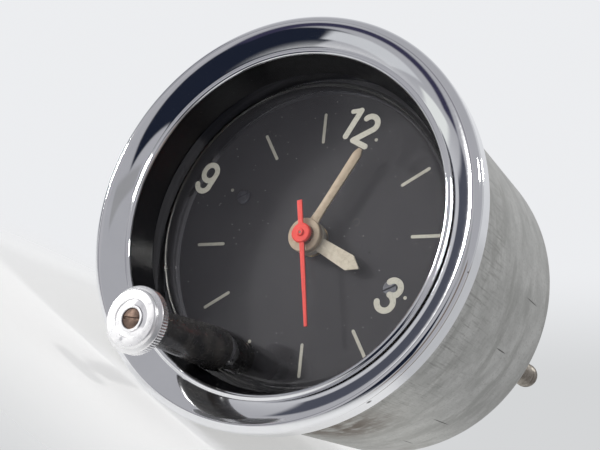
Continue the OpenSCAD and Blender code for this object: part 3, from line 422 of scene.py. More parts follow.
def plate(bm, outline, front, back):
    """Flat shape with an outline of (x, z), from one depth to another."""
    near = [bm.verts.new(at(x, front, z)) for x, z in outline]
    far = [bm.verts.new(at(x, back, z)) for x, z in outline]
    bm.faces.new(near)
    bm.faces.new(far)
    bridge(bm, near, far)


def loft(bm, rings):
    """Closed skin through rings of points."""
    for a, b in zip(rings, rings[1:]):
        bridge(bm, a, b)
    bm.faces.new(rings[0])
    bm.faces.new(rings[-1])


def placed(name, data):
    """New object in the scene."""
    thing = bpy.data.objects.new(name, data)
    bpy.context.scene.collection.objects.link(thing)
    return thing


def made(name, bm):
    """Object from a finished bmesh."""
    bmesh.ops.recalc_face_normals(bm, faces=bm.faces)
    mesh = bpy.data.meshes.new(name)
    bm.to_mesh(mesh)
    bm.free()
    return placed(name, mesh)


def turned_piece(name, profile, **options):
    bm = bmesh.new()
    turned(bm, profile, **options)
    return made(name, bm)


def cut(piece, *cutters):
    """Takes the cutters' volumes out of a piece."""
    for cutter in cutters:
        tool = piece.modifiers.new("cut", "BOOLEAN")
        tool.operation = "DIFFERENCE"
        tool.solver = "EXACT"
        tool.object = cutter
    bpy.context.view_layer.update()
    result = piece.evaluated_get(bpy.context.evaluated_depsgraph_get())
    mesh = bpy.data.meshes.new_from_object(result)
    piece.modifiers.clear()
    piece.data = mesh
    for cutter in cutters:
        bpy.data.objects.remove(cutter)
    return piece


def drill(centre, front, back, radius, steps=64):
    """Round cutter along Y, for a hole from one depth to another."""
    front, back = front - CUT_PAST, back + CUT_PAST
    profile = [(0, front), (radius, front), (radius, back), (0, back)]
    return turned_piece("drill", profile, centre=centre, steps=steps)


def slot_cutter(centre, front, deep, length, width, turn):
    """Straight cutter across a screw head."""
    along = Vector((math.sin(math.radians(turn)), math.cos(math.radians(turn))))
    across = Vector((along.y, -along.x))
    corners = [(1, 1), (1, -1), (-1, -1), (-1, 1)]
    spots = [Vector(centre) + along * (length / 2 * i) + across * (width / 2 * j) for i, j in corners]
    bm = bmesh.new()
    plate(bm, [tuple(s) for s in spots], front - CUT_PAST, front + deep)
    return made("slot", bm)


def screw_profile(front, seat, back, head_r, shank_r, bevel):
    """Profile of a screw with a bevelled head."""
    profile = [(0, front), (head_r - bevel, front), (head_r, front + SCREW_EDGE), (head_r, seat)]
    return profile + [(shank_r, seat), (shank_r, back), (0, back)]


def dress(piece, node, finish=None, sharp=32, ride=True):
    """Gives a piece its finish and puts it in a node's place."""
    slot = NODES[node].data.materials[0].name
    piece.data.materials.clear()
    piece.data.materials.append(finish or FINISH[slot])
    piece.data.shade_smooth()
    piece.data.set_sharp_from_angle(angle=math.radians(sharp))
    if ride:
        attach(piece, BODY_OF[node])
    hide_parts(node)
    return piece


# Building materials
class Nodes:
    """Node tree with short ways to add and join nodes."""

    def __init__(self, tree):
        self.tree = tree

    def node(self, kind, inputs=None, **settings):
        """New node with its settings, and with its inputs fed by name or number."""
        made_node = self.tree.nodes.new(kind)
        for name, value in settings.items():
            setattr(made_node, name, value)
        for name, value in (inputs or {}).items():
            self.feed(made_node.inputs[name], value)
        return made_node

    def link(self, source, target):
        self.tree.links.new(source, target)

    def feed(self, target, value):
        """Links an output to an input, or sets a plain value on it."""
        if isinstance(value, bpy.types.NodeSocket):
            self.link(value, target)
        else:
            target.default_value = value

    def math(self, operation, a, b=0.0):
        return self.node("ShaderNodeMath", {0: a, 1: b}, operation=operation).outputs[0]

    def span(self, value, low, high, to_low=0.0, to_high=1.0):
        """Value brought smoothly from one range to another, and held at its ends."""
        inputs = {"Value": value, "From Min": low, "From Max": high, "To Min": to_low, "To Max": to_high}
        return self.node("ShaderNodeMapRange", inputs, interpolation_type="SMOOTHSTEP").outputs["Result"]

    def mix(self, share, a, b):
        """Colour between two colours."""
        a, b = (c if isinstance(c, bpy.types.NodeSocket) else (*c, 1) for c in (a, b))
        return self.node("ShaderNodeMix", {0: share, 6: a, 7: b}, data_type="RGBA").outputs[2]

    def rays(self, *kinds):
        """1 for rays of any of the named kinds."""
        path = self.node("ShaderNodeLightPath")
        share = path.outputs[kinds[0]]
        for kind in kinds[1:]:
            share = self.math("MAXIMUM", share, path.outputs[kind])
        return share


class Finish(Nodes):
    """Node tree of one material, with places in millimetres."""

    def __init__(self, name, colour=None, **values):
        self.material = bpy.data.materials.new(name)
        self.material.use_nodes = True
        super().__init__(self.material.node_tree)
        self.shader = self.tree.nodes["Principled BSDF"]
        if colour:
            self.shader.inputs["Base Color"].default_value = (*colour, 1)
        for socket, value in values.items():
            self.shader.inputs[socket.replace("_", " ")].default_value = value
        metres = self.node("ShaderNodeTexCoord").outputs["Object"]
        scaled = self.node("ShaderNodeVectorMath", {0: metres, "Scale": 1 / MM}, operation="SCALE")
        self.place = scaled.outputs[0]

    def stretched(self, stretch):
        inputs = {0: self.place, 1: stretch}
        return self.node("ShaderNodeVectorMath", inputs, operation="MULTIPLY").outputs[0]

    def noise(self, per_mm, detail=3.0, stretch=(1, 1, 1), rough=0.55):
        place = self.stretched(stretch)
        inputs = {"Vector": place, "Scale": per_mm, "Detail": detail, "Roughness": rough}
        return self.node("ShaderNodeTexNoise", inputs).outputs["Fac"]

    def spread(self, noise, low=0.0, high=1.0):
        """Noise brought from its common range to another."""
        return self.span(noise, *NOISE_RANGE, low, high)

    def axis(self, name):
        return self.node("ShaderNodeSeparateXYZ", {0: self.place}).outputs[name]

    def away(self, spot, stretch=(1, 1, 1)):
        """Distance from a place, after stretching."""
        inputs = {0: self.stretched(stretch), 1: spot}
        return self.node("ShaderNodeVectorMath", inputs, operation="DISTANCE").outputs["Value"]

    def near(self, spot, inner, outer):
        """1 close to a place, 0 farther away."""
        return self.span(self.away(spot), inner, outer, 1.0, 0.0)

    def dash(self, spot, half_long, half_wide):
        """1 on a thin line along Y."""
        squeeze = half_wide / half_long
        away = self.away((spot[0], spot[1] * squeeze, spot[2]), (1, squeeze, 1))
        return self.span(away, half_wide * MARK_CORE, half_wide, 1.0, 0.0)

    def ring(self, centre, inner, outer, soft):
        """1 between two radii about an axis along Y."""
        away = self.away((centre[0], 0, centre[1]), (1, 0, 1))
        past_inner = self.span(away, inner - soft, inner)
        within_outer = self.span(away, outer, outer + soft, 1.0, 0.0)
        return self.math("MULTIPLY", past_inner, within_outer)

    def specks(self, per_mm, radius, share):
        """1 in small spots, one in a share of the cells of a random pattern."""
        cells = self.node("ShaderNodeTexVoronoi", {"Vector": self.place, "Scale": per_mm})
        reach = radius * per_mm
        spot = self.span(cells.outputs["Distance"], reach * SPECK_CORE, reach, 1.0, 0.0)
        pick = self.node("ShaderNodeSeparateColor", {0: cells.outputs["Color"]})
        chosen = self.math("LESS_THAN", pick.outputs[0], share)
        return self.math("MULTIPLY", spot, chosen)

    def colour(self, value):
        self.link(value, self.shader.inputs["Base Color"])

    def rough(self, value):
        self.link(value, self.shader.inputs["Roughness"])

    def bump(self, height, deep, strength=1.0):
        """Relief of a height from 0 to 1, in millimetres."""
        inputs = {"Strength": strength, "Distance": deep * MM, "Height": height}
        relief = self.node("ShaderNodeBump", inputs)
        self.link(relief.outputs["Normal"], self.shader.inputs["Normal"])

    def let_through(self, share, tint=(1, 1, 1)):
        """Lets a share of the light go straight through."""
        clear = self.node("ShaderNodeBsdfTransparent", {"Color": (*tint, 1)})
        inputs = {0: share, 1: self.shader.outputs[0], 2: clear.outputs[0]}
        both = self.node("ShaderNodeMixShader", inputs)
        self.link(both.outputs[0], self.tree.nodes["Material Output"].inputs["Surface"])


def chrome():
    """Plated steel with faint waves, fine rubs, a few tiny pits and one nick."""
    f = Finish("chrome_plate", Metallic=1.0)
    marks = f.math("MAXIMUM", f.specks(0.55, 0.14, 0.04), f.near(BEZEL_NICK, 0.12, 0.45))
    tone = f.mix(f.noise(0.3), (0.82, 0.83, 0.85), (0.90, 0.905, 0.92))
    f.colour(f.mix(marks, tone, (0.03, 0.03, 0.035)))
    f.rough(f.span(f.noise(2.5, 4.0, (1, 0.3, 1)), 0.35, 0.75, 0.04, 0.07))
    f.bump(f.noise(0.16, 1.0), 0.02, 0.5)
    return f.material


def satin_chrome():
    """Turned and plated knob with painted shade, also dulled, on one side of its ring groove, and a dull
    worn spot.
    """
    f = Finish("satin_chrome", Metallic=1.0)
    x, z = middle("setting_knob")
    face = depths("setting_knob")[0]
    wear = f.noise(1.2, 4.0)
    # Painted shade: a crescent of the ring groove on one side is darkened and made rougher; the spot
    # below is real wear.
    worn = f.near((x + GROOVE_SHADE_AT[0], face, z + GROOVE_SHADE_AT[1]), *GROOVE_SHADE_REACH)
    dull = f.math("MULTIPLY", f.ring((x, z), *SHADED_GROOVE_RING, soft=0.08), worn)
    spot = f.near((x + WORN_SPOT_AT[0], face, z + WORN_SPOT_AT[1]), *WORN_SPOT_REACH)
    dull = f.math("MAXIMUM", dull, spot)
    tone = f.mix(f.span(wear, 0.35, 0.7), (0.97, 0.97, 0.975), (0.90, 0.895, 0.90))
    f.colour(f.mix(dull, tone, (0.42, 0.42, 0.44)))
    rough = f.math("MULTIPLY", dull, f.spread(wear, 0.12, 0.22))
    f.rough(f.math("ADD", rough, f.spread(wear, 0.26, 0.34)))
    f.bump(f.noise(9.0, 2.0), 0.01, 0.3)
    return f.material


def can_steel():
    """Zinc plated sheet: mottled, grainy, hatched near the bezel, scratched and stained low down."""
    f = Finish("zinc_plate", Metallic=0.75)
    mottle = f.noise(0.22, 6.0, (1, 1, 1), 0.65)
    tone = f.mix(f.spread(mottle), (0.42, 0.42, 0.395), (0.62, 0.62, 0.595))
    smears = f.noise(0.16, 4.0, (1, 1.6, 0.5), 0.6)
    tone = f.mix(f.span(smears, 0.48, 0.66, 0.0, 0.6), tone, (0.33, 0.33, 0.306))
    grain = f.noise(2.6, 5.0, (1, 0.8, 1), 0.75)
    tone = f.mix(f.span(grain, 0.5, 0.72, 0.0, 0.5), tone, (0.23, 0.225, 0.205))
    hatch = f.noise(4.2, 3.0, (1, 0.05, 1), 0.6)
    fading = f.span(f.axis("Y"), *HATCH_REACH, 1.0, 0.2)
    hatch = f.math("MULTIPLY", f.span(hatch, 0.5, 0.7, 0.0, 0.55), fading)
    tone = f.mix(hatch, tone, (0.22, 0.215, 0.195))
    for spot, half_long in SCRATCHES:
        tone = f.mix(f.dash(spot, half_long, SCRATCH_HALF), tone, (0.08, 0.077, 0.07))
    stain = f.math("MULTIPLY", f.near(STAIN, *STAIN_REACH), f.span(f.noise(0.5, 5.0), 0.25, 0.6))
    f.colour(f.mix(stain, tone, (0.13, 0.10, 0.072)))
    f.rough(f.span(mottle, 0.25, 0.75, 0.36, 0.58))
    f.bump(grain, 0.012, 0.4)
    return f.material


def black_enamel(name, dark, pale, dust, low, high, shine=0.5):
    """Black enamel with fine dust and soft rubs."""
    f = Finish(name, Specular_IOR_Level=shine)
    tone = f.mix(f.spread(f.noise(0.5, 4.0)), dark, pale)
    f.colour(f.mix(f.specks(1.6, 0.045, dust), tone, (0.16, 0.16, 0.155)))
    f.rough(f.spread(f.noise(1.4, 4.0), low, high))
    return f.material


def clear_lens():
    """Moulded clear plastic that lets lamp light through to the dial."""
    f = Finish("clear_plastic", (0.975, 0.972, 0.98), Transmission_Weight=1.0, IOR=1.49,
               Specular_IOR_Level=0.2)
    f.rough(f.span(f.noise(0.8, 3.0), 0.45, 0.8, 0.0, 0.03))
    f.let_through(f.rays("Is Shadow Ray", "Is Diffuse Ray"), (0.94, 0.945, 0.94))
    return f.material


def print_cream():
    """Screen printed paint, slightly worn and uneven."""
    f = Finish("cream_print", Specular_IOR_Level=0.3)
    wear = f.noise(3.5, 4.0)
    f.colour(f.mix(f.span(wear, 0.45, 0.75), (0.52, 0.50, 0.43), (0.40, 0.385, 0.33)))
    f.rough(f.spread(wear, 0.45, 0.65))
    f.bump(wear, 0.01, 0.4)
    return f.material


def dial_black():
    """Satin black paint with tiny pale specks, a ring mark and a nick."""
    f = Finish("satin_black", Specular_IOR_Level=0.2)
    grain = f.noise(7.0, 3.0)
    tone = f.mix(f.spread(f.noise(0.25, 3.0)), (0.0300, 0.0285, 0.0340), (0.0345, 0.0330, 0.0380))
    tone = f.mix(f.specks(1.1, 0.10, 0.40), tone, (0.26, 0.26, 0.25))
    tone = f.mix(f.specks(0.42, 0.10, 0.14), tone, (0.13, 0.13, 0.127))
    rubbed = f.span(f.noise(1.3), 0.4, 0.55)
    scuff = f.math("MULTIPLY", f.ring(RING_MARK, *RING_MARK_R, soft=0.06), rubbed)
    tone = f.mix(scuff, tone, (0.085, 0.085, 0.08))
    f.colour(f.mix(f.near(DIAL_NICK, 0.1, 0.3), tone, (0.004, 0.004, 0.005)))
    f.rough(f.spread(grain, 0.5, 0.64))
    f.bump(grain, 0.003, 0.2)
    return f.material


def paint(name, pale, worn, low, high):
    """Hand paint with slight unevenness and worn edges."""
    f = Finish(name, Specular_IOR_Level=0.35)
    patch = f.noise(1.4, 5.0)
    f.colour(f.mix(f.span(patch, 0.42, 0.75), pale, worn))
    f.rough(f.spread(patch, low, high))
    f.bump(f.noise(6.0, 3.0), 0.008, 0.4)
    return f.material


def metal(name, bright, dull, low, high):
    """Plain metal with a patchy surface."""
    f = Finish(name, Metallic=1.0)
    patch = f.noise(0.9, 5.0)
    f.colour(f.mix(f.span(patch, 0.35, 0.7), bright, dull))
    f.rough(f.spread(patch, low, high))
    f.bump(f.noise(5.0, 3.0), 0.012, 0.4)
    return f.material


def moulded(name, one, other, low, high):
    """Moulded plastic or rubber with a fine uneven skin."""
    f = Finish(name, Specular_IOR_Level=0.4)
    skin = f.noise(2.2, 4.0)
    f.colour(f.mix(f.span(skin, 0.35, 0.7), one, other))
    f.rough(f.spread(skin, low, high))
    f.bump(f.noise(8.0, 2.0), 0.01, 0.3)
    return f.material


def bulb_glass():
    """Thin clear bulb with faint smoke."""
    f = Finish("bulb_glass_clear", (0.95, 0.95, 0.93), Transmission_Weight=1.0, IOR=1.45)
    f.rough(f.span(f.noise(0.9, 3.0), 0.4, 0.8, 0.0, 0.08))
    return f.material


def wound_copper():
    """Enamelled wire wound in close turns, with painted shade in the grooves between the turns."""
    f = Finish("enamelled_wire", Metallic=1.0)
    turns = f.math("ABSOLUTE", f.math("SINE", f.math("MULTIPLY", f.axis("X"), math.pi / COIL_TURN)))
    # Painted shade: the colour darkens in the grooves between the turns, following the same bands that
    # give the bump.
    f.colour(f.mix(turns, (0.16, 0.055, 0.03), (0.55, 0.24, 0.11)))
    f.rough(f.spread(f.noise(1.5), 0.25, 0.4))
    f.bump(turns, 0.05, 0.6)
    return f.material


FINISH = {
    "chrome": chrome(),
    "can_steel": can_steel(),
    "black_gloss": black_enamel("shade_enamel", (0.002, 0.002, 0.003), (0.004, 0.004, 0.005),
                                0.1, 0.16, 0.26, 0.3),
    "clear_lens": clear_lens(),
    "print_cream": print_cream(),
    "dial_black": dial_black(),
    "hand_cream": paint("hand_cream_paint", (0.64, 0.57, 0.46), (0.50, 0.43, 0.33), 0.35, 0.55),
    "hand_red": paint("hand_red_paint", (0.86, 0.045, 0.03), (0.76, 0.036, 0.024), 0.32, 0.5),
    "brass": metal("clean_brass", (0.62, 0.47, 0.25), (0.45, 0.33, 0.17), 0.26, 0.42),
    "steel": metal("bright_steel", (0.62, 0.62, 0.63), (0.47, 0.47, 0.48), 0.2, 0.36),
    "aged_brass": metal("aged_brass_metal", (0.27, 0.19, 0.15), (0.14, 0.10, 0.082), 0.45, 0.62),
    "patina_steel": metal("patina_steel_metal", (0.40, 0.37, 0.325), (0.24, 0.215, 0.185), 0.36, 0.6),
    "rubber": moulded("black_rubber", (0.020, 0.020, 0.021), (0.030, 0.030, 0.030), 0.6, 0.8),
    "insulator": moulded("brown_laminate", (0.16, 0.075, 0.04), (0.11, 0.05, 0.028), 0.4, 0.6),
    "copper": wound_copper(),
    "bulb_glass": bulb_glass(),
}
KNOB_FINISH = satin_chrome()
SCREW_FINISH = metal("blued_steel", (0.20, 0.205, 0.225), (0.13, 0.135, 0.15), 0.34, 0.5)
# Darker, yellower copy of the hand cream for the minute hand: partly painted shade, partly a yellower
# cream
MINUTE_SHADED_CREAM = paint("minute_cream_shaded_paint", (0.48, 0.38, 0.275), (0.39, 0.30, 0.21), 0.35, 0.55)
STEM_FINISH = black_enamel("stem_enamel", (0.026, 0.026, 0.028), (0.060, 0.056, 0.054), 0.25, 0.16, 0.3)


# Case and front
def bezel():
    """Pressed ring: rolled lip, groove, domed face, outer bead, skirt and turned-in seat."""
    front, back = depths("bezel")
    inner, outer = radii("bezel")
    lip = Vector((inner + LIP_ROUND, LIP_DEPTH))
    bead = Vector((outer - BEAD_ROUND, front + BEAD_ROUND))
    dome = circle_crossing(Vector(FACE_ROOT), FACE_ROUND, bead, FACE_ROUND - BEAD_ROUND)
    groove = circle_crossing(dome, FACE_ROUND + GROOVE_ROUND, lip, LIP_ROUND + GROOVE_ROUND)
    face_start = bearing(dome, groove)
    face_end = bearing(dome, bead)
    skirt_in = outer - BEZEL_SHEET
    crimp_r = CAN_R + PASS
    crease = bead.y + CREASE
    profile = arc(lip, LIP_ROUND, -270, bearing(lip, groove), 16)
    profile += arc(groove, GROOVE_ROUND, bearing(groove, lip), bearing(groove, dome), 6)[1:-1]
    profile += arc(dome, FACE_ROUND, face_start, face_end, 24)[:-1]
    profile += arc(bead, BEAD_ROUND, face_end, 0, 24)
    profile += [(outer - CREASE, crease + CREASE), (outer, crease + 2 * CREASE)]
    profile += held((outer, crease + 2 * CREASE), (outer, back - SEAT_EDGE))[1:-1]
    profile += arc((outer - SEAT_EDGE, back - SEAT_EDGE), SEAT_EDGE, 0, 90, 4)
    profile += [(crimp_r, back), (crimp_r, back - CRIMP_T), (skirt_in, back - CRIMP_T)]
    profile += arc(bead, BEAD_ROUND - BEZEL_SHEET, 0, face_end, 8)
    profile += arc(dome, FACE_ROUND - BEZEL_SHEET, face_end, face_start, 8)
    dress(turned_piece("bezel_ring", profile, steps=256), "bezel")


def case_can():
    """Drawn can with a rolled flange, a rounded back corner and holes for the fittings."""
    front, back = depths("case_can")
    flange = radii("case_can")[1]
    outer = CAN_R
    inner = outer - CAN_WALL
    corner = (outer - CAN_CORNER, back - CAN_CORNER)
    profile = [(inner, front), (flange, front), (flange, front + FLANGE_T)]
    profile += [(outer - FLANGE_ROOT, front + FLANGE_T)]
    profile += held((outer, 0), (outer, corner[1]), share=0.01)[:-1]
    profile += arc(corner, CAN_CORNER, 0, 90, 8)
    profile += [(0, back), (0, back - CAN_WALL)]
    profile += arc(corner, CAN_CORNER - CAN_WALL, 90, 0, 4)
    can = turned_piece("can_shell", profile, steps=192)
    through = (back - CAN_WALL, back)
    studs = pair_places("mounting_studs", STUD_SHANK_R)
    holes = [drill(place, *through, STUD_SHANK_R + PASS / 2) for place in studs]
    holes.append(drill(middle("lamp_holder"), *through, LAMP_R + SEAT))
    holes.append(drill(middle("terminal_insulators"), *through, INSULATOR_NECK_R + SEAT))
    dress(cut(can, *holes), "case_can")


def shade_ring():
    """Black cone between the bezel's lip and the lens, notched for the stem."""
    front, back = depths("shade_ring")
    outer = radii("shade_ring")[1]
    lip = radii("bezel")[0]
    profile = [(lip + SHADE_LIP_GAP, front), (outer, front), (outer, back)]
    profile += held((lip - SHADE_REAR_IN, back), (lip + SHADE_LIP_GAP, front))[:-1]
    ring = turned_piece("shade_cone", profile, steps=224)
    relief = drill(middle("stem_sleeve"), front, back, SLEEVE_REAR_R + PASS, steps=96)
    dress(cut(ring, relief), "shade_ring")


def lens():
    """Flat moulded lens with a skirt, a rounded inner corner and the bore for the stem."""
    front, back = depths("lens")
    outer = radii("lens")[1]
    skirt_out = radii("spacer_ring")[0] - PASS
    skirt_in = skirt_out - LENS_SKIRT
    under = front + LENS_T - PRINT_GAP
    corner = (skirt_in - LENS_FILLET, under + LENS_FILLET)
    profile = [(0, front)]
    profile += held((LENS_MIDDLE, front), (outer - LENS_EDGE, front), share=0.01)
    profile += [(outer, front + LENS_EDGE), (outer, under), (skirt_out, under), (skirt_out, back)]
    profile += held((skirt_in, back), (skirt_in, corner[1]))[:-1]
    profile += arc(corner, LENS_FILLET, 0, -90, 12)
    profile += [(corner[0] - FILLET_HOLD, under), (0, under)]
    body = turned_piece("lens_moulding", profile, steps=224)
    bore = drill(middle("stem_sleeve"), front, under, NECK_R + RUN, steps=96)
    dress(cut(body, bore), "lens")


def dial_screws():
    """Two small slotted screws that hold the dial."""
    front, back = depths("dial_screws")
    seat = depths("dial_plate")[0]
    places = pair_places("dial_screws", DIAL_SCREW_R)
    profile = screw_profile(front, seat, back, DIAL_SCREW_R, DIAL_SHANK_R, DIAL_SCREW_BEVEL)
    bm = bmesh.new()
    for place in places:
        turned(bm, profile, centre=place, steps=48)
    screws = made("dial_screw_pair", bm)
    slots = [slot_cutter(place, front, **DIAL_SLOT) for place in places]
    dress(cut(screws, *slots), "dial_screws", SCREW_FINISH)


# Hands
def stations(tip, from_axis, from_tip):
    """Stations of a hand, all as (distance from the axis, half width)."""
    return [*from_axis, *((tip - back, half) for back, half in from_tip)]


def blade(bm, node, middle_y, places, thick, crown, ridged=False):
    """Tapering blade through a hand's stations, with a crowned or ridged front."""
    along = pointing(node)
    across = Vector((along.y, -along.x))
    columns = [i / BLADE_COLUMNS for i in range(-BLADE_COLUMNS, BLADE_COLUMNS + 1)]
    wide = max(half for _, half in places)
    rings = []
    for distance, half in places:
        ring = []
        for u in columns:
            rise = 1 - abs(u) if ridged else 1 - u * u
            spot = along * distance + across * (half * u)
            y = middle_y - thick / 2 - crown * rise * half / wide
            ring.append(bm.verts.new(at(spot.x, y, spot.y)))
        for u in (1, -1):
            spot = along * distance + across * (half * u)
            ring.append(bm.verts.new(at(spot.x, middle_y + thick / 2, spot.y)))
        rings.append(ring)
    loft(bm, rings)


def hub(bm, front, back, bore):
    """Round hub with a bevelled front rim."""
    profile = [(bore, front), (HUB_R - HUB_BEVEL, front), (HUB_R, front + HUB_BEVEL)]
    profile += [(HUB_R, back), (bore, back)]
    turned(bm, profile, steps=96)


def baton(node, hub_back, from_axis, from_tip, crown, ridged=False, **look):
    """Cream hand with a round hub."""
    front, back = depths(node)
    bore, tip = radii(node)
    bm = bmesh.new()
    blade(bm, node, back - hub_back, stations(tip, from_axis, from_tip), BLADE_T, crown, ridged)
    hub(bm, front, back, bore)
    dress(made(node + "_baton", bm), node, **look)


def hour_hand():
    """Short baton that widens to a ridged point."""
    baton("hour_hand", HOUR_HUB_BACK, HOUR_FROM_AXIS, HOUR_FROM_TIP, HOUR_CROWN, ridged=True, sharp=12)


def minute_hand():
    """Long half-round baton with a short tapered tip."""
    # Its darker cream is partly painted shade.
    baton("minute_hand", MINUTE_HUB_BACK, MINUTE_FROM_AXIS, MINUTE_FROM_TIP, MINUTE_CROWN,
          finish=MINUTE_SHADED_CREAM, sharp=30)


def second_hand():
    """Flat red hand with a tail, a round hub and a collar, a boss in black enamel that paints the shade
    under the hub, and a pin in the collar.
    """
    front, back = depths("second_hand")
    bore, tip = radii("second_hand")
    y = back - SECOND_BOSS
    under = y + SECOND_T
    collar = front - COLLAR_RISE
    bottom = collar + COLLAR_DEEP
    cap = bottom + COLLAR_FLOOR
    bm = bmesh.new()
    places = stations(tip, SECOND_FROM_AXIS, SECOND_FROM_TIP)
    blade(bm, "second_hand", y, places, SECOND_T, SECOND_CROWN)
    profile = [(0, bottom), (COLLAR_BORE, bottom), (COLLAR_BORE, collar)]
    profile += [(COLLAR_R - COLLAR_BEVEL, collar), (COLLAR_R, collar + COLLAR_BEVEL)]
    profile += [(COLLAR_R + COLLAR_FOOT, front)]
    profile += [(SECOND_HUB_FLAT_R, front), (SECOND_HUB_R, front + HUB_BEVEL), (SECOND_HUB_R, under)]
    profile += [(bore, under), (bore, cap), (0, cap)]
    turned(bm, profile, steps=72)
    dress(made("second_hand_pointer", bm), "second_hand", sharp=30)
    profile = [(bore, under), (BOSS_R, under), (BOSS_R, back - BOSS_EDGE), (BOSS_R - BOSS_EDGE, back)]
    boss = turned_piece("second_hand_boss", profile + [(bore, back)], steps=72)
    # Black enamel on the boss is painted shade under the red hub.
    dress(boss, "second_hand", FINISH["black_gloss"])
    end = collar + PIN_SINK
    profile = [(0, end), (PIN_FLAT_R, end), (PIN_R, end + PIN_EDGE), (PIN_R, bottom), (0, bottom)]
    pin = turned_piece("second_hand_pin", profile, steps=48)
    dress(pin, "second_hand", FINISH["aged_brass"])


# Setting stem
def stem_sleeve():
    """Glossy tapered sleeve that carries the knob's arbor."""
    centre = middle("stem_sleeve")
    front, back = depths("stem_sleeve")
    shoulder = depths("lens")[0] - SEAT
    bore = radii("stem_sleeve", centre)[0]
    profile = [(bore, front)]
    profile += arc((SLEEVE_FRONT_R - SLEEVE_ROUND, front + SLEEVE_ROUND), SLEEVE_ROUND, -90, 0, 6)
    profile += held(profile[-1], (SLEEVE_REAR_R, shoulder), share=0.02)[1:]
    profile += [(NECK_R, shoulder), (NECK_R, back), (bore, back)]
    sleeve = turned_piece("stem_taper", profile, centre=centre, steps=128)
    dress(sleeve, "stem_sleeve", STEM_FINISH)


def knurl(start, radius):
    """Radius of the knob, with fine straight grooves behind its plain band."""
    def shape(r, y, a):
        if r < radius or y < start:
            return r
        return r - KNURL_DEEP * (0.5 - 0.5 * math.cos(KNURLS * a))
    return shape


def knob_face(front):
    """Front of the knob's profile: recess for the screw, ring groove and rounded disc."""
    bottom = front + KNOB_RECESS
    groove = front + FACE_GROOVE_DEEP
    inner, outer = FACE_GROOVE
    profile = [(KNOB_SCREW_R, bottom), (KNOB_RECESS_R, bottom)]
    profile += [(KNOB_RECESS_R, front + RECESS_EDGE), (KNOB_RECESS_R + RECESS_EDGE, front)]
    profile += [(inner, front), (inner + FACE_GROOVE_SLOPE, groove)]
    profile += [(outer - FACE_GROOVE_SLOPE, groove), (outer, front)]
    return profile + arc((KNOB_DISC_R - KNOB_ROUND, front + KNOB_ROUND), KNOB_ROUND, -90, 0, 8)


def setting_knob():
    """Knob with a stepped face, a recess for its screw, a groove and a knurled grip."""
    front, back = depths("setting_knob")
    centre = middle("setting_knob")
    radius = radii("setting_knob", centre)[1]
    step = front + KNOB_DISC
    step_end = step + NECK_GROOVE
    neck = KNOB_DISC_R - NECK_GROOVE_DEEP
    band = front + KNOB_BAND
    grip = band + KNURL_RUN
    web = front + KNOB_WEB
    profile = knob_face(front) + [(KNOB_DISC_R, step), (neck, step + NECK_GROOVE_SLOPE)]
    profile += [(neck, step_end - NECK_GROOVE_SLOPE), (KNOB_DISC_R, step_end)]
    profile += [(radius - inset, band - rise) for inset, rise in BAND_CORNER]
    profile += [(radius, band), (radius, grip), (radius, back - KNOB_REAR_BEVEL[1])]
    profile += [(radius - KNOB_REAR_BEVEL[0], back), (KNOB_BORE_R, back)]
    profile += [(KNOB_BORE_R, web), (KNOB_SCREW_R, web)]
    knob = turned_piece("knob_grip", profile, centre=centre, steps=KNURLS * KNURL_STEPS,
                        shape=knurl(grip, radius))
    dress(knob, "setting_knob", KNOB_FINISH)


def knob_screw():
    """Slotted screw in the knob's face."""
    front, back = depths("knob_screw")
    centre = middle("knob_screw")
    radius = radii("knob_screw", centre)[1]
    shank = KNOB_SCREW_R - SEAT
    profile = screw_profile(front, front + KNOB_SCREW_HEAD, back, radius, shank, KNOB_SCREW_BEVEL)
    screw = turned_piece("knob_screw_head", profile, centre=centre, steps=64)
    dress(cut(screw, slot_cutter(centre, front, **KNOB_SLOT)), "knob_screw")


# Springs
def coil(bm, start, end, radius, wire, turns):
    """Wire wound from one place to another, as one unbroken tube with closed ends."""
    along = (end - start).normalized()
    run = (end - start).length - 2 * wire
    side = along.orthogonal().normalized()
    across = along.cross(side)
    steps = turns * TURN_STEPS
    corners = [2 * math.pi * k / WIRE_SIDES for k in range(WIRE_SIDES)]
    rings = []
    for i in range(steps + 1):
        a = 2 * math.pi * turns * i / steps
        out = side * math.cos(a) + across * math.sin(a)
        core = start + along * (wire + run * i / steps) + out * radius
        spots = [core + (out * math.cos(b) + along * math.sin(b)) * wire for b in corners]
        rings.append([bm.verts.new(spot * MM) for spot in spots])
    loft(bm, rings)


def stem_spring():
    """Push spring round the arbor, which gets shorter as the knob goes in."""
    x, z = middle("stem_spring")
    front, back = depths("stem_spring")
    inner, outer = radii("stem_spring", (x, z))
    wire = (outer - inner) / 2 * WIRE_SHARE
    travel = JOINTS["knob_push"]["range_m"][1] / MM
    keep = 1 - travel / (back - front)
    bm = bmesh.new()
    turns = int((back - front) * keep / (CLOSED_PITCH * wire))
    coil(bm, Vector((x, front, z)), Vector((x, back, z)), (inner + outer) / 2, wire, turns)
    spring = made("stem_spring_coil", bm)
    dress(spring, "stem_spring", sharp=60)
    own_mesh(spring)


def drive_spring():
    """Pull spring from its post to the armature's hook, which it follows."""
    points = [v.co / MM for v in NODES["drive_spring"].data.vertices]
    centre = sum(points, Vector()) / len(points)
    post = middle("spring_post")
    root = Vector((post[0], centre.y, post[1]))
    toward = (centre - root).normalized()
    spans = [(p - root).dot(toward) for p in points]
    start, end = root + toward * min(spans), root + toward * max(spans)
    reach = max((p - root - toward * s).length for p, s in zip(points, spans))
    wire = reach * DRIVE_WIRE
    bm = bmesh.new()
    turns = int((end - start).length / (DRIVE_PITCH * wire))
    coil(bm, start, end, reach - wire, wire, turns)
    spring = made("drive_spring_coil", bm)
    dress(spring, "drive_spring", sharp=60, ride=False)
    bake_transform(spring)


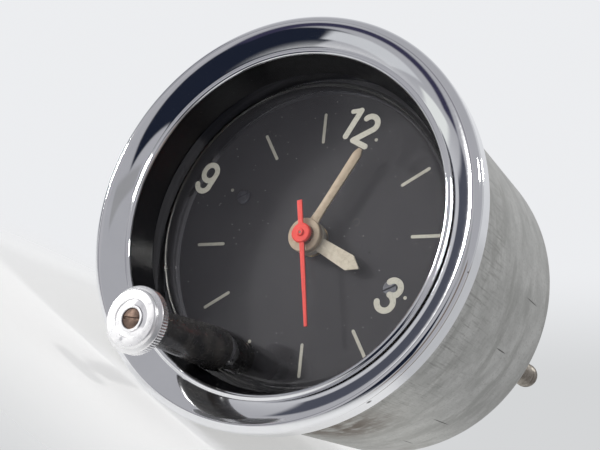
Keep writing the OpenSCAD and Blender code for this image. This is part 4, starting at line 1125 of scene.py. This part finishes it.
# Fittings on the back
def thread(front, back, radius, pitch, deep):
    """Radius of a rod with a helical thread between two depths."""
    def shape(r, y, a):
        if r < radius or y < front or y > back:
            return r
        turn = (y / pitch - a / (2 * math.pi)) % 1
        fade = min(1, (y - front) / pitch, (back - y) / pitch)
        return r - deep * fade * abs(2 * turn - 1)
    return shape


def threaded_rod(bm, centre, start, thread_from, end, radius, pitch, shank, point):
    """Rod with a plain shank and a threaded end with a rounded point."""
    stop = end - point
    rows = int((stop - thread_from) / pitch * THREAD_ROWS)
    profile = [(0, start), (shank, start), (shank, thread_from)]
    profile += [(radius, thread_from + (stop - thread_from) * i / rows) for i in range(rows)]
    profile += arc((radius - point, stop), point, 0, 90, 6)
    profile += [(0, end)]
    shape = thread(thread_from, stop, radius, pitch, pitch * THREAD_DEEP)
    turned(bm, profile, centre=centre, steps=48, shape=shape)


def hexagon_nut(bm, centre, front, back, across, bore):
    """Hexagonal nut with chamfered corners."""
    flat = across / 2

    def shape(r, y, a):
        if r < flat:
            return r
        side = flat / math.cos((a + math.pi / 6) % (math.pi / 3) - math.pi / 6)
        room = min(y - front, back - y)
        return min(side, flat * NUT_BEVEL_START + room * NUT_BEVEL_SLOPE)
    profile = [(bore + NUT_EDGE, front)] + [(flat, front + i) for i in NUT_ROWS]
    profile += [(flat, back - i) for i in reversed(NUT_ROWS)] + [(bore + NUT_EDGE, back)]
    profile += [(bore, back - NUT_EDGE), (bore, front + NUT_EDGE)]
    turned(bm, profile, centre=centre, steps=96, shape=shape)


def mounting_studs():
    """Two threaded studs with plain shanks."""
    start, end = depths("mounting_studs")
    thread_from = depths("stud_nuts")[1]
    bm = bmesh.new()
    for place in pair_places("mounting_studs", STUD_SHANK_R):
        threaded_rod(bm, place, start, thread_from, end, STUD_R, STUD_PITCH, STUD_SHANK_R, STUD_POINT)
    dress(made("stud_pair", bm), "mounting_studs")


def stud_nuts():
    """Nuts that hold the studs to the can."""
    front, back = depths("stud_nuts")
    bm = bmesh.new()
    for place in pair_places("mounting_studs", STUD_SHANK_R):
        hexagon_nut(bm, place, front, back, STUD_NUT, STUD_SHANK_R)
    dress(made("stud_nut_pair", bm), "stud_nuts", sharp=25)


def terminal():
    """Threaded terminal with a round head and a nut."""
    centre = middle("terminal_post")
    start, end = depths("terminal_post")
    nut_front, nut_back = depths("terminal_nut")
    head_end = start + TERMINAL_HEAD
    bm = bmesh.new()
    threaded_rod(bm, centre, start + TERMINAL_HEAD / 2, nut_back, end, TERMINAL_R, TERMINAL_PITCH,
                 TERMINAL_R, TERMINAL_POINT)
    profile = [(0, start), (TERMINAL_HEAD_R - TERMINAL_HEAD_EDGE, start)]
    profile += [(TERMINAL_HEAD_R, start + TERMINAL_HEAD_EDGE)]
    profile += [(TERMINAL_HEAD_R, head_end), (0, head_end)]
    turned(bm, profile, centre=centre, steps=48)
    dress(made("terminal_screw", bm), "terminal_post")
    bm = bmesh.new()
    hexagon_nut(bm, centre, nut_front, nut_back, TERMINAL_NUT, TERMINAL_R)
    dress(made("terminal_hexagon", bm), "terminal_nut", sharp=25)


def terminal_insulators():
    """Insulating washers on both sides of the can's back, joined by a neck."""
    centre = middle("terminal_post")
    front, back = depths("terminal_insulators")
    wide = radii("terminal_insulators", centre)[1]
    can_back = depths("case_can")[1]
    can_in = can_back - CAN_WALL
    bore = TERMINAL_R + SEAT
    profile = [(bore, front), (wide - INSULATOR_FRONT_EDGE, front)]
    profile += [(wide, front + INSULATOR_FRONT_EDGE), (wide, can_in)]
    profile += [(INSULATOR_NECK_R, can_in), (INSULATOR_NECK_R, can_back), (wide, can_back)]
    profile += [(wide, back - INSULATOR_BACK_EDGE), (wide - INSULATOR_BACK_EDGE, back), (bore, back)]
    washers = turned_piece("terminal_washers", profile, centre=centre, steps=72)
    dress(washers, "terminal_insulators")


def lamp_holder():
    """Pressed lamp cap with a rim, a ring groove and a contact rivet."""
    centre = middle("lamp_holder")
    front, back = depths("lamp_holder")
    rim = radii("lamp_holder", centre)[1]
    seat = back - LAMP_RIM
    bottom = seat - LAMP_FLOOR
    low = back - RIM_STEP
    edge = back - CAP_EDGE
    groove = zip(reversed(CAP_GROOVE), (back, low, low, edge))
    profile = [(LAMP_R - LAMP_WALL, front), (LAMP_R, front), (LAMP_R, seat), (rim, seat)]
    profile += [(rim, low - RIM_BEVEL[1]), (rim - RIM_BEVEL[0], low), (LAMP_R + CAP_FOOT, low)]
    profile += [(LAMP_R, edge), (LAMP_R - CAP_ROUND, back), *groove]
    profile += [(RIVET_R, back), (0, back), (0, bottom), (LAMP_R - LAMP_WALL, bottom)]
    dress(turned_piece("lamp_cap", profile, centre=centre, steps=96), "lamp_holder")


def set_finishes():
    """Gives each node that stays its detailed finish."""
    for node in NODES.values():
        for place in node.material_slots:
            place.material = FINISH[place.material.name]


# Light, floor and camera
def bearing_axis(heading, height):
    """Direction at a heading to the right of the front and a height above the level, in degrees."""
    turn, lift = math.radians(heading), math.radians(height)
    return Vector((math.sin(turn) * math.cos(lift), -math.cos(turn) * math.cos(lift), math.sin(lift)))


class Surroundings(Nodes):
    """Node tree of the world, with shares that depend on the direction looked in."""

    def __init__(self, name):
        sky = bpy.data.worlds.new(name)
        bpy.context.scene.world = sky
        sky.use_nodes = True
        super().__init__(sky.node_tree)
        self.tree.nodes.clear()
        self.direction = self.node("ShaderNodeTexCoord").outputs["Generated"]

    def along(self, axis, low, high):
        """Share that grows along an axis, from one cosine to another."""
        inputs = {0: self.direction, 1: Vector(axis).normalized()}
        dot = self.node("ShaderNodeVectorMath", inputs, operation="DOT_PRODUCT")
        return self.span(dot.outputs["Value"], low, high)

    def patch(self, toward, *limits):
        """1 in a patch on one side, between limits along its axes, with soft edges."""
        share = self.along(toward, *FACING)
        for axis, (low, high) in limits:
            share = self.math("MULTIPLY", share, self.along(axis, low, low + EDGE_SOFT))
            share = self.math("MULTIPLY", share, self.along(axis, high, high - EDGE_SOFT))
        return share

    def room_patch(self, heading, height, half_wide, half_tall):
        """1 in an upright patch about a heading and a height."""
        across = bearing_axis(heading + 90, 0)
        rise = bearing_axis(heading, height + 90)
        wide = math.sin(math.radians(half_wide))
        tall = math.sin(math.radians(half_tall))
        return self.patch(bearing_axis(heading, height), (across, (-wide, wide)), (rise, (-tall, tall)))

    def show(self, colour, strength):
        sky = self.node("ShaderNodeBackground", {"Color": colour, "Strength": strength})
        self.node("ShaderNodeOutputWorld", {"Surface": sky.outputs[0]})


def world():
    """Pale surroundings, a soft glow from the left front that lights, and a room to mirror."""
    w = Surroundings("surroundings")
    _, up, forward = camera_axes()
    pale = w.mix(w.along(up, *SKY_EDGE), SKY_LOW, SKY_HIGH)
    mirrored = w.mix(w.along(-forward, *FRONT_FADE), pale, SKY_FRONT)
    panel = w.patch(-forward, (PANEL_ALONG, PANEL_ENDS), (PANEL_UP, PANEL_SIDES))
    mirrored = w.mix(panel, mirrored, PANEL_COLOUR)
    for *place, colour in ROOM:
        mirrored = w.mix(w.room_patch(*place), mirrored, colour)
    glow = w.mix(w.along(GLOW_TOWARD, *GLOW_FADE), pale, GLOW_COLOUR)
    colour = w.mix(w.rays("Is Diffuse Ray"), pale, glow)
    colour = w.mix(w.rays("Is Glossy Ray"), colour, mirrored)
    seen = w.rays(*SEEN_RAYS)
    w.show(colour, w.span(seen, 0.0, 1.0, LIGHT_SHARE, 1.0))


def lamp(name, toward, size, power):
    """Soft square lamp that points at the object."""
    light = bpy.data.lights.new(name, "AREA")
    light.shape = "SQUARE"
    light.size = size * MM
    light.energy = power
    light.color = LAMP_COLOUR
    holder = placed(name, light)
    side = Vector(toward).normalized()
    holder.location = side * (LAMP_AWAY * MM)
    holder.rotation_euler = side.to_track_quat("Z", "Y").to_euler()


def floor():
    """Pale floor that fades out around the object."""
    bm = bmesh.new()
    level = CAD_BOX[0].z / MM - FLOOR_DROP
    middle_y = (CAD_BOX[0].y + CAD_BOX[1].y) / 2 / MM
    rings = [[bm.verts.new(at(0, middle_y, level))]]
    for radius in (FLOOR_SOLID, FLOOR_END):
        spots = arc((0, middle_y), radius, 0, 360, FLOOR_STEPS)[:-1]
        rings.append([bm.verts.new(at(x, y, level)) for x, y in spots])
    for a, b in zip(rings, rings[1:]):
        bridge(bm, a, b)
    disc = made("floor_disc", bm)
    f = Finish("floor_paint", Roughness=0.9, Specular_IOR_Level=0.0, Emission_Color=FLOOR_GLOW)
    f.colour(f.mix(f.noise(0.05), *FLOOR_TONES))
    seen = f.rays(*SEEN_RAYS)
    f.link(seen, f.shader.inputs["Emission Strength"])
    f.let_through(f.span(f.away((0, middle_y, level)), FLOOR_SOLID, FLOOR_END))
    disc.data.materials.append(f.material)
    disc.visible_shadow = False


def camera_axes():
    """Right, up and forward of the camera."""
    roll = math.radians(CAMERA_ROLL)
    forward = bearing_axis(180 - CAMERA_HEADING, CAMERA_PITCH)
    level = forward.cross(Vector((0, 0, 1))).normalized()
    upright = level.cross(forward)
    right = level * math.cos(roll) + upright * math.sin(roll)
    up = upright * math.cos(roll) - level * math.sin(roll)
    return right, up, forward


def camera():
    """Camera at the viewing angle of a person who looks at the dial from the right."""
    right, up, forward = camera_axes()
    eye = bpy.data.cameras.new("eye")
    eye.sensor_width = CAMERA_SENSOR
    eye.lens = CAMERA_LENS
    eye.clip_start = CAMERA_CLIP * MM
    holder = placed("eye", eye)
    turn = Matrix((right, up, -forward)).transposed()
    holder.matrix_world = Matrix.Translation(Vector(CAMERA_AT) * MM) @ turn.to_4x4()
    bpy.context.scene.camera = holder


camera()
bezel()
case_can()
shade_ring()
lens()
dial_screws()
hour_hand()
minute_hand()
second_hand()
stem_sleeve()
setting_knob()
knob_screw()
stem_spring()
drive_spring()
mounting_studs()
stud_nuts()
terminal()
terminal_insulators()
lamp_holder()
set_finishes()
world()
lamp("window", **WINDOW)
lamp("ceiling", **CEILING)
floor()
bpy.context.scene.view_settings.view_transform = "Standard"
